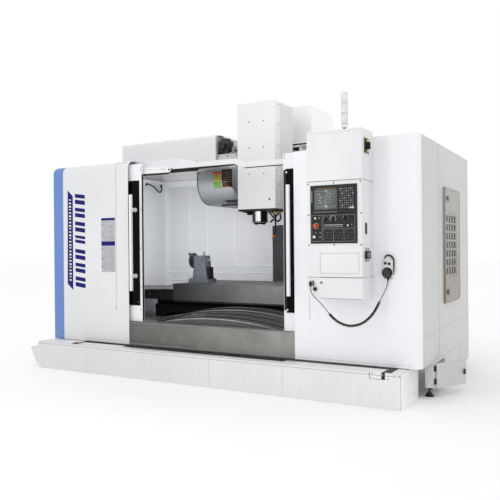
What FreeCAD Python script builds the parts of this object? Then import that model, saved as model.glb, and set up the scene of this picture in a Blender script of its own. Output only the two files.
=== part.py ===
import FreeCAD, Part
import Sketcher
import math
import os

# Large three-axis vertical machining centre, full enclosure, millimetres.
# X runs along the table to the operator's right, Y away from the operator, Z up.
# Sizes are given about the spindle's X, the front panels' plane and the floor;
# off_x and off_y then bring the middle of the whole footprint to the origin.

V = FreeCAD.Vector
doc = FreeCAD.newDocument("machining_center")
sheet = doc.addObject("Spreadsheet::Sheet", "Sizes")
ROW = [1]
NODES = []
CUTS = []
COUNT = [0]


class Q:
    """A size: its value, and the sheet expression that gives it."""

    def __init__(self, v, e):
        self.v, self.e = float(v), e

    def _b(self, o, f, sign, flip=False):
        ov, oe = (o.v, o.e) if isinstance(o, Q) else (float(o), repr(float(o)))
        if flip:
            return Q(f(ov, self.v), "(%s %s %s)" % (oe, sign, self.e))
        return Q(f(self.v, ov), "(%s %s %s)" % (self.e, sign, oe))

    def __add__(self, o): return self._b(o, lambda a, b: a + b, "+")
    def __radd__(self, o): return self._b(o, lambda a, b: a + b, "+", True)
    def __sub__(self, o): return self._b(o, lambda a, b: a - b, "-")
    def __rsub__(self, o): return self._b(o, lambda a, b: a - b, "-", True)
    def __mul__(self, o): return self._b(o, lambda a, b: a * b, "*")
    def __rmul__(self, o): return self._b(o, lambda a, b: a * b, "*", True)
    def __truediv__(self, o): return self._b(o, lambda a, b: a / b, "/")
    def __neg__(self): return Q(-self.v, "(0 - %s)" % self.e)


def size(alias, value):
    r = ROW[0]
    sheet.set("A%d" % r, alias)
    sheet.set("B%d" % r, repr(float(value)))
    sheet.setAlias("B%d" % r, alias)
    ROW[0] = r + 1
    return Q(value, "Sizes." + alias)


def val(q):
    return q.v if isinstance(q, Q) else float(q)


def bind(obj, prop, q):
    obj.setExpression(prop, q.e if isinstance(q, Q) else repr(float(q)))


def fresh(stem):
    COUNT[0] += 1
    return "%s_%03d" % (stem, COUNT[0])


# ---------------------------------------------------------------- sizes
off_x = size("off_x", -42.0)
off_y = size("off_y", -1336.5)
half_w = size("half_width", 2100)
skin = size("skin_thickness", 3)
cover_top = size("left_cover_top", 2255)
right_top = size("right_cover_top", 2250)
skirt = size("skirt_bottom", 300)
side_back = size("side_depth", 1983)
edge_r = size("top_edge_radius", 90)
corner_r = size("front_corner_radius", 60)
open_l = size("opening_left", 995)
open_r = size("opening_right", 956)
sill = size("sill_height", 540)
liner = size("liner_half_width", 2060)
liner_back = size("liner_back", 2043)
door_y = size("door_front", 40)
door_t = size("door_thickness", 35)
door_w = size("door_width", 1035)
door_lo = size("door_bottom", 545)
door_hi_l = size("left_door_top", 2212)
door_hi_r = size("right_door_top", 2184)
lead_l = size("left_door_edge", 845)
lead_r = size("right_door_edge", 830)
win_lo = size("window_bottom", 720)
win_hi = size("window_top", 2032)
win_w = size("window_width", 912)
bed_hw = size("bed_half_width", 650)
bed_front = size("bed_front", 300)
bed_back = size("bed_back", 2700)
bed_lo = size("bed_underside", 60)
bed_hi = size("bed_deck", 400)
way_hi = size("bed_way_top", 470)
col_hw = size("column_half_width", 420)
col_front = size("column_front", 2080)
col_lo = size("column_foot", 560)
col_hi = size("column_top", 2560)
table_hl = size("table_half_length", 1000)
table_y = size("table_front", 785)
table_d = size("table_depth", 900)
table_hi = size("table_top", 904)
table_lo = size("table_underside", 712)
tslot_w = size("tslot_width", 22)
tslot_p = size("tslot_pitch", 165)
sad_hl = size("saddle_half_length", 1340)
sad_y = size("saddle_front", 885)
sad_d = size("saddle_depth", 700)
sad_hi = size("saddle_top", 710)
spin_y = size("spindle_y", 1097)
nose_z = size("spindle_nose", 1585)
nose_r = size("spindle_housing_radius", 84)
head_lo = size("head_underside", 1740)
hc_lo = size("head_cover_bottom", 1750)
hc_hi = size("head_cover_top", 2940)
hc_l = size("head_cover_left", 220)
hc_r = size("head_cover_right", 259)
hc_y = size("head_cover_front", 980)
hc_back = size("head_cover_back", 1425)
cab_l = size("cabinet_left", 1215)
cab_r = size("cabinet_right", 1703)
cab_y = size("cabinet_depth", 275)
cab_lo = size("cabinet_bottom", 883)
cab_hi = size("cabinet_top", 2288)
pan_l = size("panel_left", 1252)
pan_r = size("panel_right", 1658)
pan_lo = size("panel_bottom", 1348)
pan_mid = size("panel_split", 1598)
pan_hi = size("panel_top", 1831)
tank_l = size("tank_left", 2130)
tank_r = size("tank_right", 2000)
tank_y = size("tank_front", 220)
tank_hi = size("tank_height", 290)
box_l = size("terminal_left", 2040)
box_r = size("terminal_right", 2125)
box_y = size("terminal_front", 361)
box_back = size("terminal_back", 741)
box_lo = size("terminal_bottom", 80)
tdoor_w = size("terminal_door_width", 376)
tdoor_a = size("terminal_door_ajar", 28)
lou_y0 = size("louvre_front", 821)
lou_y1 = size("louvre_back", 1468)
lou_lo = size("louvre_bottom", 779)
lou_hi = size("louvre_top", 1867)
mag_l = size("magazine_left", 880)
mag_r = size("magazine_right", 330)
mag_y = size("magazine_front", 1144)
mag_r1 = size("magazine_radius", 265)
mag_lo = size("magazine_bottom", 1846)
hou_r = size("housing_right", 646)
hou_y = size("housing_front", 1183)
hou_hi = size("housing_top", 2673)
top_r = size("top_cover_half", 335)
top_y = size("top_cover_front", 1790)
top_back = size("top_cover_back", 2465)
top_hi = size("top_cover_top", 3029)
screw_r = size("ball_screw_radius", 25)
fit_gap = size("running_gap", 0.05)


# ---------------------------------------------------------------- builders
def keep(obj, label):
    """Give a finished piece its name, and bring it into the common frame."""
    obj.Label = label
    bind(obj, "Placement.Base.x", off_x)
    bind(obj, "Placement.Base.y", off_y)
    NODES.append(obj)
    return obj


def box(x0, x1, y0, y1, z0, z1):
    b = doc.addObject("Part::Box", fresh("Block"))
    bind(b, "Length", x1 - x0)
    bind(b, "Width", y1 - y0)
    bind(b, "Height", z1 - z0)
    bind(b, "Placement.Base.x", x0)
    bind(b, "Placement.Base.y", y0)
    bind(b, "Placement.Base.z", z0)
    return b


TURN = {
    "Z": FreeCAD.Rotation(),
    "X": FreeCAD.Rotation(V(0, 1, 0), 90),
    "Y": FreeCAD.Rotation(V(1, 0, 0), -90),
}


def rod(axis, x, y, z, r, length):
    c = doc.addObject("Part::Cylinder", fresh("Rod"))
    bind(c, "Radius", r)
    bind(c, "Height", length)
    c.Placement = FreeCAD.Placement(V(0, 0, 0), TURN[axis])
    bind(c, "Placement.Base.x", x)
    bind(c, "Placement.Base.y", y)
    bind(c, "Placement.Base.z", z)
    return c


def cone(axis, x, y, z, r0, r1, length):
    c = doc.addObject("Part::Cone", fresh("Cone"))
    bind(c, "Radius1", r0)
    bind(c, "Radius2", r1)
    bind(c, "Height", length)
    c.Placement = FreeCAD.Placement(V(0, 0, 0), TURN[axis])
    bind(c, "Placement.Base.x", x)
    bind(c, "Placement.Base.y", y)
    bind(c, "Placement.Base.z", z)
    return c


def joined(parts):
    if len(parts) == 1:
        return parts[0]
    f = doc.addObject("Part::MultiFuse", fresh("Joined"))
    f.Shapes = parts
    f.Refine = True
    return f


def cut(base, tools):
    f = doc.addObject("Part::Cut", fresh("Cut"))
    f.Base = base
    f.Tool = joined(tools)
    f.Refine = True
    CUTS.append((f, base))
    return f


def group(parts):
    g = doc.addObject("Part::Compound", fresh("Group"))
    g.Links = parts
    return g


class Piece:
    """One piece built from sketched features."""

    def __init__(self, label):
        self.body = doc.addObject("PartDesign::Body", label)
        keep(self.body, label)
        self.last = None

    def _plane(self, role):
        return [f for f in self.body.Origin.OriginFeatures if f.Role == role][0]

    def _sketch(self, plane, off, a0=0, b0=0):
        sk = self.body.newObject("Sketcher::SketchObject", fresh("Sketch"))
        sk.AttachmentSupport = [(self._plane(plane + "_Plane"), "")]
        sk.MapMode = "FlatFace"
        bind(sk, "AttachmentOffset.Base.z", -off if plane == "XZ" else off)
        if not (isinstance(a0, int) and a0 == 0):
            bind(sk, "AttachmentOffset.Base.x", a0)
        if not (isinstance(b0, int) and b0 == 0):
            bind(sk, "AttachmentOffset.Base.y", b0)
        return sk

    def _path(self, sk, path):
        """path: corner points; ("arc", centre a, centre b, radius) between two
        of them bends the side that joins them."""
        pts = [p for p in path if p[0] != "arc"]
        arcs = {}
        n = 0
        for p in path:
            if p[0] == "arc":
                arcs[n - 1] = p[1:]
            else:
                n += 1
        first = sk.GeometryCount
        ends = []
        for i in range(n):
            p = [val(c) for c in pts[i]]
            q = [val(c) for c in pts[(i + 1) % n]]
            if i in arcs:
                ca, cb, r = [val(c) for c in arcs[i]]
                t0 = math.atan2(p[1] - cb, p[0] - ca)
                t1 = math.atan2(q[1] - cb, q[0] - ca)
                turn = (t1 - t0) % (2 * math.pi)
                circle = Part.Circle(V(ca, cb, 0), V(0, 0, 1), r)
                if turn < math.pi:
                    sk.addGeometry(Part.ArcOfCircle(circle, t0, t0 + turn), False)
                    ends.append((1, 2))
                else:
                    sk.addGeometry(Part.ArcOfCircle(circle, t1, t1 + (2 * math.pi - turn)), False)
                    ends.append((2, 1))
            else:
                sk.addGeometry(Part.LineSegment(V(p[0], p[1], 0), V(q[0], q[1], 0)), False)
                ends.append((1, 2))
        for i in range(n):
            j = (i + 1) % n
            sk.addConstraint(Sketcher.Constraint("Coincident", first + i, ends[i][1], first + j, ends[j][0]))
        for i in range(n):
            for k, kind in ((0, "DistanceX"), (1, "DistanceY")):
                c = sk.addConstraint(Sketcher.Constraint(kind, -1, 1, first + i, ends[i][0], val(pts[i][k])))
                if isinstance(pts[i][k], Q):
                    sk.setExpression("Constraints[%d]" % c, pts[i][k].e)
            if i in arcs:
                c = sk.addConstraint(Sketcher.Constraint("Radius", first + i, val(arcs[i][2])))
                if isinstance(arcs[i][2], Q):
                    sk.setExpression("Constraints[%d]" % c, arcs[i][2].e)
        return sk

    def _circle(self, sk, a, b, r):
        g = sk.addGeometry(Part.Circle(V(val(a), val(b), 0), V(0, 0, 1), val(r)), False)
        for kind, q in (("DistanceX", a), ("DistanceY", b)):
            c = sk.addConstraint(Sketcher.Constraint(kind, -1, 1, g, 3, val(q)))
            if isinstance(q, Q):
                sk.setExpression("Constraints[%d]" % c, q.e)
        c = sk.addConstraint(Sketcher.Constraint("Radius", g, val(r)))
        if isinstance(r, Q):
            sk.setExpression("Constraints[%d]" % c, r.e)

    def _extrude(self, kind, plane, off, length, shape):
        sk = self._sketch(plane, off)
        if isinstance(shape, list):
            self._path(sk, shape)
        else:
            for c in shape:
                self._circle(sk, *c)
        f = self.body.newObject("PartDesign::" + kind, fresh(kind))
        f.Profile = sk
        bind(f, "Length", length)
        f.Reversed = (plane == "XZ") if kind == "Pad" else (plane != "XZ")
        if kind == "Pocket":
            CUTS.append((f, self.last))
        self.last = f
        self.body.Tip = f
        return f

    def pad(self, plane, off, length, shape):
        """shape: a list of corners, or a tuple of circles (a, b, r). The piece
        grows from off towards plus along the plane's normal axis."""
        return self._extrude("Pad", plane, off, length, shape)

    def pocket(self, plane, off, length, shape):
        return self._extrude("Pocket", plane, off, length, shape)

    def turned(self, axis, x, y, z, profile, groove=False):
        """profile: (radius, height) corners about an axis along Z or Y through
        the given point, or (height, radius) along X."""
        if axis == "Z":
            sk = self._sketch("XZ", y if isinstance(y, Q) else Q(y, repr(float(y))), x)
            ref = "V_Axis"
        elif axis == "Y":
            sk = self._sketch("XY", z if isinstance(z, Q) else Q(z, repr(float(z))), x)
            ref = "V_Axis"
        else:
            sk = self._sketch("XZ", y if isinstance(y, Q) else Q(y, repr(float(y))), 0, z)
            ref = "H_Axis"
        self._path(sk, profile)
        kind = "Groove" if groove else "Revolution"
        f = self.body.newObject("PartDesign::" + kind, fresh(kind))
        f.Profile = sk
        f.ReferenceAxis = (sk, [ref])
        f.Angle = 360
        if groove:
            CUTS.append((f, self.last))
        self.last = f
        self.body.Tip = f
        return f

    def repeat(self, feature, axis, length, times):
        lp = self.body.newObject("PartDesign::LinearPattern", fresh("Row"))
        lp.Originals = [feature]
        lp.Direction = (self._plane(axis + "_Axis"), [""])
        bind(lp, "Length", length)
        lp.Occurrences = times
        CUTS.append((lp, feature)) if "Pocket" in feature.TypeId else None
        self.last = lp
        self.body.Tip = lp
        return lp


def rect(a0, a1, b0, b1):
    return [(a0, b0), (a1, b0), (a1, b1), (a0, b1)]


def Z(x):
    return Q(x, repr(float(x)))


# ---------------------------------------------------------------- castings
# Bed: one iron casting, deck with two box ways along Y and a raised rear seat.
p = Piece("machine_bed")
p.pad("XY", bed_lo, bed_hi - bed_lo, rect(-bed_hw, bed_hw, bed_front, bed_back))
p.pad("XY", bed_hi, way_hi - bed_hi, rect(-560, -400, bed_front, 2030))
p.pad("XY", bed_hi, way_hi - bed_hi, rect(400, 560, bed_front, 2030))
p.pad("XY", bed_hi, col_lo - bed_hi, rect(-480, 480, 2050, bed_back))
p.pocket("XY", 300, bed_hi - 300, rect(-75, 75, bed_front + 60, 2040))
r = p.pocket("YZ", -bed_hw, 60, rect(380, 780, 130, 330))
p.repeat(r, "Y", 1500, 4)
r = p.pocket("YZ", bed_hw - 60, 60, rect(380, 780, 130, 330))
p.repeat(r, "Y", 1500, 4)
p.pocket("XZ", 2030, bed_back - 2030, ((0, 350, 26.0),))

# Levelling feet: pad, cone and threaded stem under the bed and the side covers.
feet = []
for fx, fy, ft in ((-2067, 363, 303), (2067, 400, 80), (-2067, 1850, 303), (2067, 1700, 303),
                   (-560, 420, 60), (560, 420, 60), (-560, 1450, 60), (560, 1450, 60),
                   (-560, 2600, 60), (560, 2600, 60)):
    top = skirt + 3 if ft == 303 else (box_lo if ft == 80 else bed_lo)
    feet.append(joined([
        rod("Z", fx, fy, 0, 38, 10),
        cone("Z", fx, fy, 10, 34, 13, 32),
        rod("Z", fx, fy, 42, 9, top - 42)]))
keep(group(feet), "levelling_feet")

# Column: tall casting with two front ways, a screw channel and cored back.
p = Piece("column")
p.pad("XY", col_lo, col_hi - col_lo, rect(-col_hw, col_hw, col_front, bed_back))
p.pad("XY", 1040, col_hi - 1040, rect(-340, -240, col_front - 30, col_front))
p.pad("XY", 1040, col_hi - 1040, rect(240, 340, col_front - 30, col_front))
p.pocket("XY", 900, 1600, rect(-75, 75, col_front, col_front + 80))
p.pocket("XY", 2500, col_hi - 2500, ((0, col_front + 20, 26.0),))
r = p.pocket("XZ", bed_back - 320, 320, rect(-220, 220, 700, 1120))
p.repeat(r, "Z", 1180, 3)

# Saddle: cross slide that straddles the bed ways and carries the X ways.
p = Piece("saddle")
p.pad("XY", 560, 90, rect(-sad_hl, sad_hl, sad_y, sad_y + sad_d))
p.pad("XY", way_hi + 0.5, 560 - way_hi - 0.5, rect(-620, 620, sad_y, sad_y + sad_d))
p.pad("XY", 650, sad_hi - 650, rect(-sad_hl, sad_hl, sad_y + 40, sad_y + 180))
p.pad("XY", 650, sad_hi - 650, rect(-sad_hl, sad_hl, sad_y + sad_d - 180, sad_y + sad_d - 40))
p.pad("XY", 500, 60, rect(-sad_hl, -1180, sad_y, sad_y + sad_d))
p.pad("XY", 500, 60, rect(1180, sad_hl, sad_y, sad_y + sad_d))
p.pocket("XY", 590, 60, rect(-sad_hl + 60, sad_hl - 60, sad_y + 300, sad_y + 400))
p.pocket("YZ", -sad_hl, 60, ((sad_y + 350, 625, 25.0 + 0.05),))

# Table: T-slotted plate on a ribbed apron.
p = Piece("table")
p.pad("YZ", -table_hl, 2 * table_hl, rect(table_y, table_y + table_d, table_lo, table_hi))
y0 = table_y + table_d / 2 - 2 * tslot_p
hw = tslot_w / 2
r = p.pocket("YZ", -table_hl, 2 * table_hl, [
    (y0 - hw, table_hi), (y0 - hw, table_hi - 30), (y0 - 18.5, table_hi - 30), (y0 - 18.5, table_hi - 48),
    (y0 + 18.5, table_hi - 48), (y0 + 18.5, table_hi - 30), (y0 + hw, table_hi - 30), (y0 + hw, table_hi)])
p.repeat(r, "Y", 4 * tslot_p, 5)

# ---------------------------------------------------------------- ball screws
for label, axis, at, length, r0 in (
        ("x_ball_screw", "X", (-sad_hl + 5, sad_y + 350, Z(625)), 2 * sad_hl - 70, 0),
        ("y_ball_screw", "Y", (Z(0), bed_front + 70, Z(350)), 2320, 0),
        ("z_ball_screw", "Z", (Z(0), col_front + 20, Z(905)), 1650, 0)):
    p = Piece(label)
    x, y, z = at
    if axis == "X":
        s, e = x, x + length
        prof = [(s, 0), (s, 25), (s + 60, 25), (s + 60, 31), (s + 80, 31), (s + 80, 25),
                (e - 20, 25), (e - 20, 20), (e, 20), (e, 0)]
        p.turned("X", 0, y, z, prof)
    elif axis == "Y":
        s, e = y, y + length
        prof = [(0, s), (20, s), (20, s + 20), (screw_r, s + 20), (screw_r, e - 20), (20, e - 20), (20, e), (0, e)]
        p.turned("Y", x, 0, z, prof)
    else:
        s, e = z, z + length
        prof = [(0, s), (20, s), (20, s + 20), (screw_r, s + 20), (screw_r, e - 40), (20, e - 40), (20, e), (0, e)]
        p.turned("Z", x, y, 0, prof)

# Servo motors of the Y and Z slides, on the bed's back and the column's top.
ym = joined([box(-90, 90, bed_back, bed_back + 40, 260, 440), box(-80, 80, bed_back + 40, bed_back + 230, 270, 430),
             rod("Y", 0, bed_back + 230, 350, 66, 60), box(-30, 30, bed_back + 90, bed_back + 150, 430, 480)])
zm = joined([box(-90, 90, col_front - 70, col_front + 110, col_hi, col_hi + 40),
             box(-80, 80, col_front - 60, col_front + 100, col_hi + 40, col_hi + 280),
             rod("Z", 0, col_front + 20, col_hi + 280, 66, 60)])
keep(group([ym, zm]), "axis_motors")

# ---------------------------------------------------------------- enclosure
# Left front cover: one long folded sheet, flat front, rounded top edge, roof.
cy = cover_top - edge_r
p = Piece("front_cover_left")
p.pad("YZ", -half_w, half_w - open_l, [
    (0, skirt), (0, cy), ("arc", edge_r, cy, edge_r), (edge_r, cover_top), (1180, cover_top), (1180, cover_top - skin),
    (edge_r, cover_top - skin), ("arc", edge_r, cy, edge_r - skin), (skin, cy), (skin, skirt + skin),
    (36, skirt + skin), (36, skirt)])
p.pad("XY", cover_top - skin, skin, rect(-open_l, -420, 160, 1180))

# Right front cover: front and corner in one sheet, with the right roof.
p = Piece("front_cover_right")
cc = half_w - corner_r
p.pad("XY", skirt, right_top - skirt, [
    (open_r, 0), (cc, 0), ("arc", cc, corner_r, corner_r), (half_w, corner_r), (half_w - skin, corner_r),
    ("arc", cc, corner_r, corner_r - skin), (cc, skin), (open_r + skin, skin), (open_r + skin, 30), (open_r, 30)])
p.pad("XY", right_top - skin, skin, [
    (open_r, 0), (cc, 0), ("arc", cc, corner_r, corner_r), (half_w, corner_r), (half_w, side_back),
    (930, side_back), (930, 200), (open_r, 200)])
p.pocket("XY", 2185, 70, rect(open_r - 5, cab_l, -5, 60))

# Left side cover, with two foot brackets folded from it.
p = Piece("side_cover_left")
p.pad("YZ", -half_w + 0.0, skin, [
    (skin, skirt + skin), (skin, cy), ("arc", edge_r, cy, edge_r - skin), (edge_r, cover_top - skin),
    (side_back, cover_top - skin), (side_back, skirt), (36, skirt), (36, skirt + skin)])
p.pad("XY", skirt + skin, skin, rect(-half_w, -2035, 310, 420))
p.pad("XY", skirt + skin, skin, rect(-half_w, -2035, 1790, 1910))

# Right side cover: deeper behind, opening for the louvred door.
p = Piece("side_cover_right")
p.pad("YZ", half_w - skin, skin, [
    (corner_r, skirt), (1533, skirt), (1560, 80), (1822, 80), (side_back, 105), (side_back, right_top - skin),
    (corner_r, right_top - skin)])
p.pad("XY", skirt + skin, skin, rect(2035, half_w, 1640, 1760))
p.pocket("YZ", half_w - 5, 10, rect(lou_y0 + 30, lou_y1 - 30, lou_lo + 30, lou_hi - 30))

# Splash liner: left, back and right chamber walls folded from one run of sheet.
p = Piece("chamber_walls")
lb = liner_back
p.pad("XY", 420, 1820, [
    (-liner, 95), (-liner, lb), (liner, lb), (liner, 95), (liner - skin, 95), (liner - skin, lb - skin),
    (-liner + skin, lb - skin), (-liner + skin, 95)])
p.pocket("XZ", lb - 10, 20, rect(-336, 336, 640, 2241))
p.pocket("XZ", lb - 10, 20, rect(-665, 665, 419, 641))

# Sill and chip pan: bare sheet, upright sill, trough and side slopes.
p = Piece("chip_pan")
p.pad("YZ", -open_l, open_l + open_r, [
    (0, skirt), (0, sill), (95, sill), (95, sill - skin), (skin, sill - skin), (skin, skirt)])
p.pad("YZ", -2055, 4110, [
    (90, sill), (95, sill), (252, 325), (297, 325), (297, 322), (250, 322), (92, sill - skin), (90, sill - skin)])
p.pad("XZ", 293, 3, [(-2055, 322), (-2055, 480), (-700, 392), (700, 392), (2055, 480), (2055, 322)])
p.pad("XZ", 293, 1742, [(-2055, 480), (-700, 392), (-655, 392), (-655, 389), (-700, 389), (-2055, 477)])
p.pad("XZ", 293, 1742, [(2055, 480), (700, 392), (655, 392), (655, 389), (700, 389), (2055, 477)])

# Header over the opening: folded channel with a step down to the right.
p = Piece("top_beam")
outer = [(-2057, 2186), (280, 2186), (370, 2145), (2057, 2145), (2057, 2093), (370, 2093), (280, 2136), (-2057, 2136)]
inner = [(-2060, 2183), (279, 2183), (369, 2142), (2060, 2142), (2060, 2096), (371, 2096), (281, 2139), (-2060, 2139)]
p.pad("XZ", 92, 70, outer)
p.pocket("XZ", 95, 70, inner)
p.pad("XZ", 159, 3, rect(-2057, -420, 2184, 2251.5))

# Magazine cover inside the chamber: straight front, quarter-round lower edge.
p = Piece("magazine_cover")
cyy, czz = mag_y + mag_r1, mag_lo + mag_r1
p.pad("YZ", -mag_l, mag_l - mag_r, [
    (mag_y, 2243), (mag_y, czz), ("arc", cyy, czz, mag_r1), (cyy, mag_lo), (2040, mag_lo), (2040, 2243)])
p.pocket("YZ", -mag_l + 3, mag_l - mag_r - 6, [
    (mag_y + 3, 2240), (mag_y + 3, czz), ("arc", cyy, czz, mag_r1 - 3), (cyy, mag_lo + 3), (2041, mag_lo + 3), (2041, 2240)])
p.pocket("XY", 2230, 20, rect(-860, -650, hou_y + 10, 2041))
p.pocket("XY", 2230, 20, rect(-655, -560, 1545, 1705))
p.pocket("XY", mag_lo - 5, 20, rect(-560, -360, cyy + 10, cyy + 330))

# Upper housing of the magazine, on the left roof, with a curled lip.
p = Piece("magazine_housing")
hz = hou_hi - 40
p.pad("YZ", -half_w, half_w - hou_r, [
    (hou_y, cover_top - skin), (hou_y, hz), ("arc", hou_y + 40, hz, 40), (hou_y + 40, hou_hi), (side_back, hou_hi),
    (side_back, cover_top - skin)])
p.pocket("YZ", -half_w + 3, half_w - hou_r - 6, [
    (hou_y + 3, cover_top - 4), (hou_y + 3, hz), ("arc", hou_y + 40, hz, 37), (hou_y + 40, hou_hi - 3),
    (side_back - 3, hou_hi - 3), (side_back - 3, cover_top - 4)])
p.pad("XZ", hou_y + 40, 160, [
    (-hou_r, hou_hi), (-600, hou_hi - 4), (-560, hou_hi - 18), (-540, hou_hi - 40), (-544, hou_hi - 42),
    (-564, hou_hi - 22), (-602, hou_hi - 8), (-hou_r, hou_hi - 4)])

p.pocket("YZ", -hou_r - 8, 16, rect(1545, 1705, 2245, 2330))

# Tool carousel: wheel with a rim of pots, on a horizontal shaft.
disc_y, disc_z = 1625, 2255
rim = [rod("X", -840, disc_y, disc_z, 312, 26), rod("X", -858, disc_y, disc_z, 60, 290)]
pots = []
for i in range(24):
    a = 2 * math.pi * i / 24
    pots.append(rod("X", -845, disc_y + 304 * math.cos(a), disc_z + 304 * math.sin(a), 36, 130))
keep(joined(rim + pots), "tool_carousel")

# Magazine drive: gearcase on the cover's top and an upright motor.
keep(group([box(-640, -345, 1215, 1455, 2243, 2443),
            cut(box(-645, -575, 1500, 1750, 2243, 2345), [rod("X", -650, disc_y, disc_z, 60.08, 90)]),
            joined([box(-632, -500, 1225, 1357, 2443, 2600), rod("Z", -566, 1291, 2600, 55, 26)])]), "magazine_drive")

# Cover of the Z motor on top of the column.
keep(cut(box(-top_r, top_r, top_y, top_back, col_hi, top_hi),
         [box(-top_r + 3, top_r - 3, top_y + 3, top_back - 3, col_hi - 5, top_hi - 3)]), "column_top_cover")

# ---------------------------------------------------------------- way covers
# Front way cover: arched overlapping plates between the sill and the saddle.
plates = []
for i, (ya, yb, apex) in enumerate(((146, 300, 606), (285, 450, 622), (435, 600, 638), (585, 745, 654), (730, 884, 670))):
    half, sag, t = 860.0 - 12 * i, 105.0, 3.0
    rr = (half * half + sag * sag) / (2 * sag)
    plates.append((ya, yb, half, apex, sag, rr))
arches = []
for i, (ya, yb, half, apex, sag, rr) in enumerate(plates):
    b = doc.addObject("PartDesign::Body", fresh("Plate"))
    helper = Piece.__new__(Piece)
    helper.body, helper.last = b, None
    zc = apex - rr
    helper.pad("XZ", Z(ya), yb - ya, [
        (-half, apex - sag), ("arc", 0, zc, rr), (half, apex - sag), (half, apex - sag - 22), (half - 3, apex - sag - 22),
        (half - 3, apex - sag - 1.5), ("arc", 0, zc, rr - 3), (-half + 3, apex - sag - 1.5), (-half + 3, apex - sag - 22),
        (-half, apex - sag - 22)])
    arches.append(b)
keep(group(arches), "y_way_cover")

# X way covers: stepped box plates between the table's ends and the saddle's ends.
for side, label in ((-1, "x_cover_left"), (1, "x_cover_right")):
    parts = []
    for i in range(6):
        a, b = 1001 + i * 174.0, 1001 + (i + 1) * 174.0 + (10 if i < 5 else 0)
        d = 4.5 * i
        x0, x1 = (-b, -a) if side < 0 else (a, b)
        shell = cut(box(x0, x1, table_y + 15 + d, table_y + table_d - 15 - d, 713, 838 - d),
                    [box(x0 - 1, x1 + 1, table_y + 18 + d, table_y + table_d - 18 - d, 700, 835 - d)])
        parts.append(shell)
    keep(group(parts), label)

# Z way cover: stepped plates hanging below the head in front of the column.
parts = []
for i in range(4):
    z1 = 1589 - i * 247.5
    z0 = z1 - 247.5 - (12 if i < 3 else 0)
    w = 310.0 - 5 * i
    parts.append(cut(box(-w, w, 1982 + 5 * i, 2044, z0, z1), [box(-w + 3, w - 3, 1985 + 5 * i, 2050, z0 - 1, z1 + 1)]))
keep(group(parts), "z_way_cover")

# ---------------------------------------------------------------- head
p = Piece("head_casting")
p.pad("XY", 1600, 700, rect(-322, 322, 1968, col_front - 30.5))
p.pad("XY", head_lo + 20, 520, rect(-170, 170, 1421, 1968))
p.pad("XY", head_lo, 600, rect(-190, 225, 1010, 1421))
p.pad("XY", nose_z + 15, head_lo - nose_z - 15, ((0, spin_y, nose_r),))
p.pocket("XY", nose_z + 10, 690, ((0, spin_y, 60.0),))
p.pocket("XY", 1595, 705, rect(-80, 80, 2000, col_front - 25))

# Head cover: folded sheet hood over the casting's front, top and sides.
keep(cut(box(-hc_l, hc_r, hc_y, hc_back, hc_lo, hc_hi),
         [box(-hc_l + 3, hc_r - 3, hc_y + 3, hc_back + 5, hc_lo - 5, hc_hi - 3)]), "head_cover")

# Spindle: turned shaft with a bored, tapered nose and drive keys.
p = Piece("spindle")
p.turned("Z", 0, spin_y, 0, [
    (0, nose_z + 130), (0, 2250), (45, 2250), (45, nose_z + 40), (60 - fit_gap, nose_z + 40), (60 - fit_gap, nose_z + 12),
    (64, nose_z + 12), (64, nose_z), (34.9, nose_z), (20, nose_z + 102), (20, nose_z + 130)])
p.pad("XY", nose_z - 8, 8, rect(-60, -37, spin_y - 12.7, spin_y + 12.7))
p.pad("XY", nose_z - 8, 8, rect(37, 60, spin_y - 12.7, spin_y + 12.7))

# Coolant nozzles: manifold beside the spindle and jointed hoses.
noz = [box(110, 250, 1090, 1190, 1722, 1739.5)]
for nx, ny, n, bend in ((228, 1150, 7, (1, 9.0)), (185, 1123, 16, (12, 7.5))):
    z = 1722.0
    x, y = float(nx), float(ny)
    for k in range(n):
        noz.append(cone("Z", x, y, z - 18, 9, 12, 18.5))
        z -= 17.5
        if k >= bend[0]:
            x -= bend[1]
    noz.append(cone("Z", x, y, z - 26, 4, 8, 27))
keep(joined(noz), "coolant_nozzles")

# ---------------------------------------------------------------- sliding doors
for side, tag, lead in ((-1, "left", lead_l), (1, "right", lead_r)):
    def sx(u, w):
        """u, w: distances outward from the leading edge."""
        return (-lead - w, -lead - u) if side < 0 else (lead + u, lead + w)
    p = Piece("door_" + tag)
    door_hi = door_hi_l if side < 0 else door_hi_r
    a, b = sx(0, door_w)
    p.pad("XZ", door_y, door_t, rect(a, b, door_lo, door_hi))
    a, b = sx(4, door_w - 4)
    p.pocket("XZ", door_y + 2, door_t, rect(a, b, door_lo + 4, door_hi - 4))
    a, b = sx(63, 63 + win_w - 60)
    p.pocket("XZ", door_y - 1, 6, rect(a, b, win_lo + 30, win_hi - 30))
    p.pad("XZ", door_y + 2, door_t - 2, rect(*(sx(4, 30) + (door_lo + 4, door_hi - 4))))
    p = Piece("door_window_" + tag)
    a, b = sx(33, 33 + win_w)
    p.pad("XZ", door_y - 8, 8, rect(a, b, win_lo, win_hi))
    p = Piece("door_handle_" + tag)
    a, b = sx(64, 92) if side < 0 else sx(73, 101)
    p.pad("XZ", -55, 24, rect(a, b, 873, 1884))
    c = (a + b) / 2
    p.pad("XZ", -31, 63, ((c, 1027, 13.5), (c, 1726, 13.5)))

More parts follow.
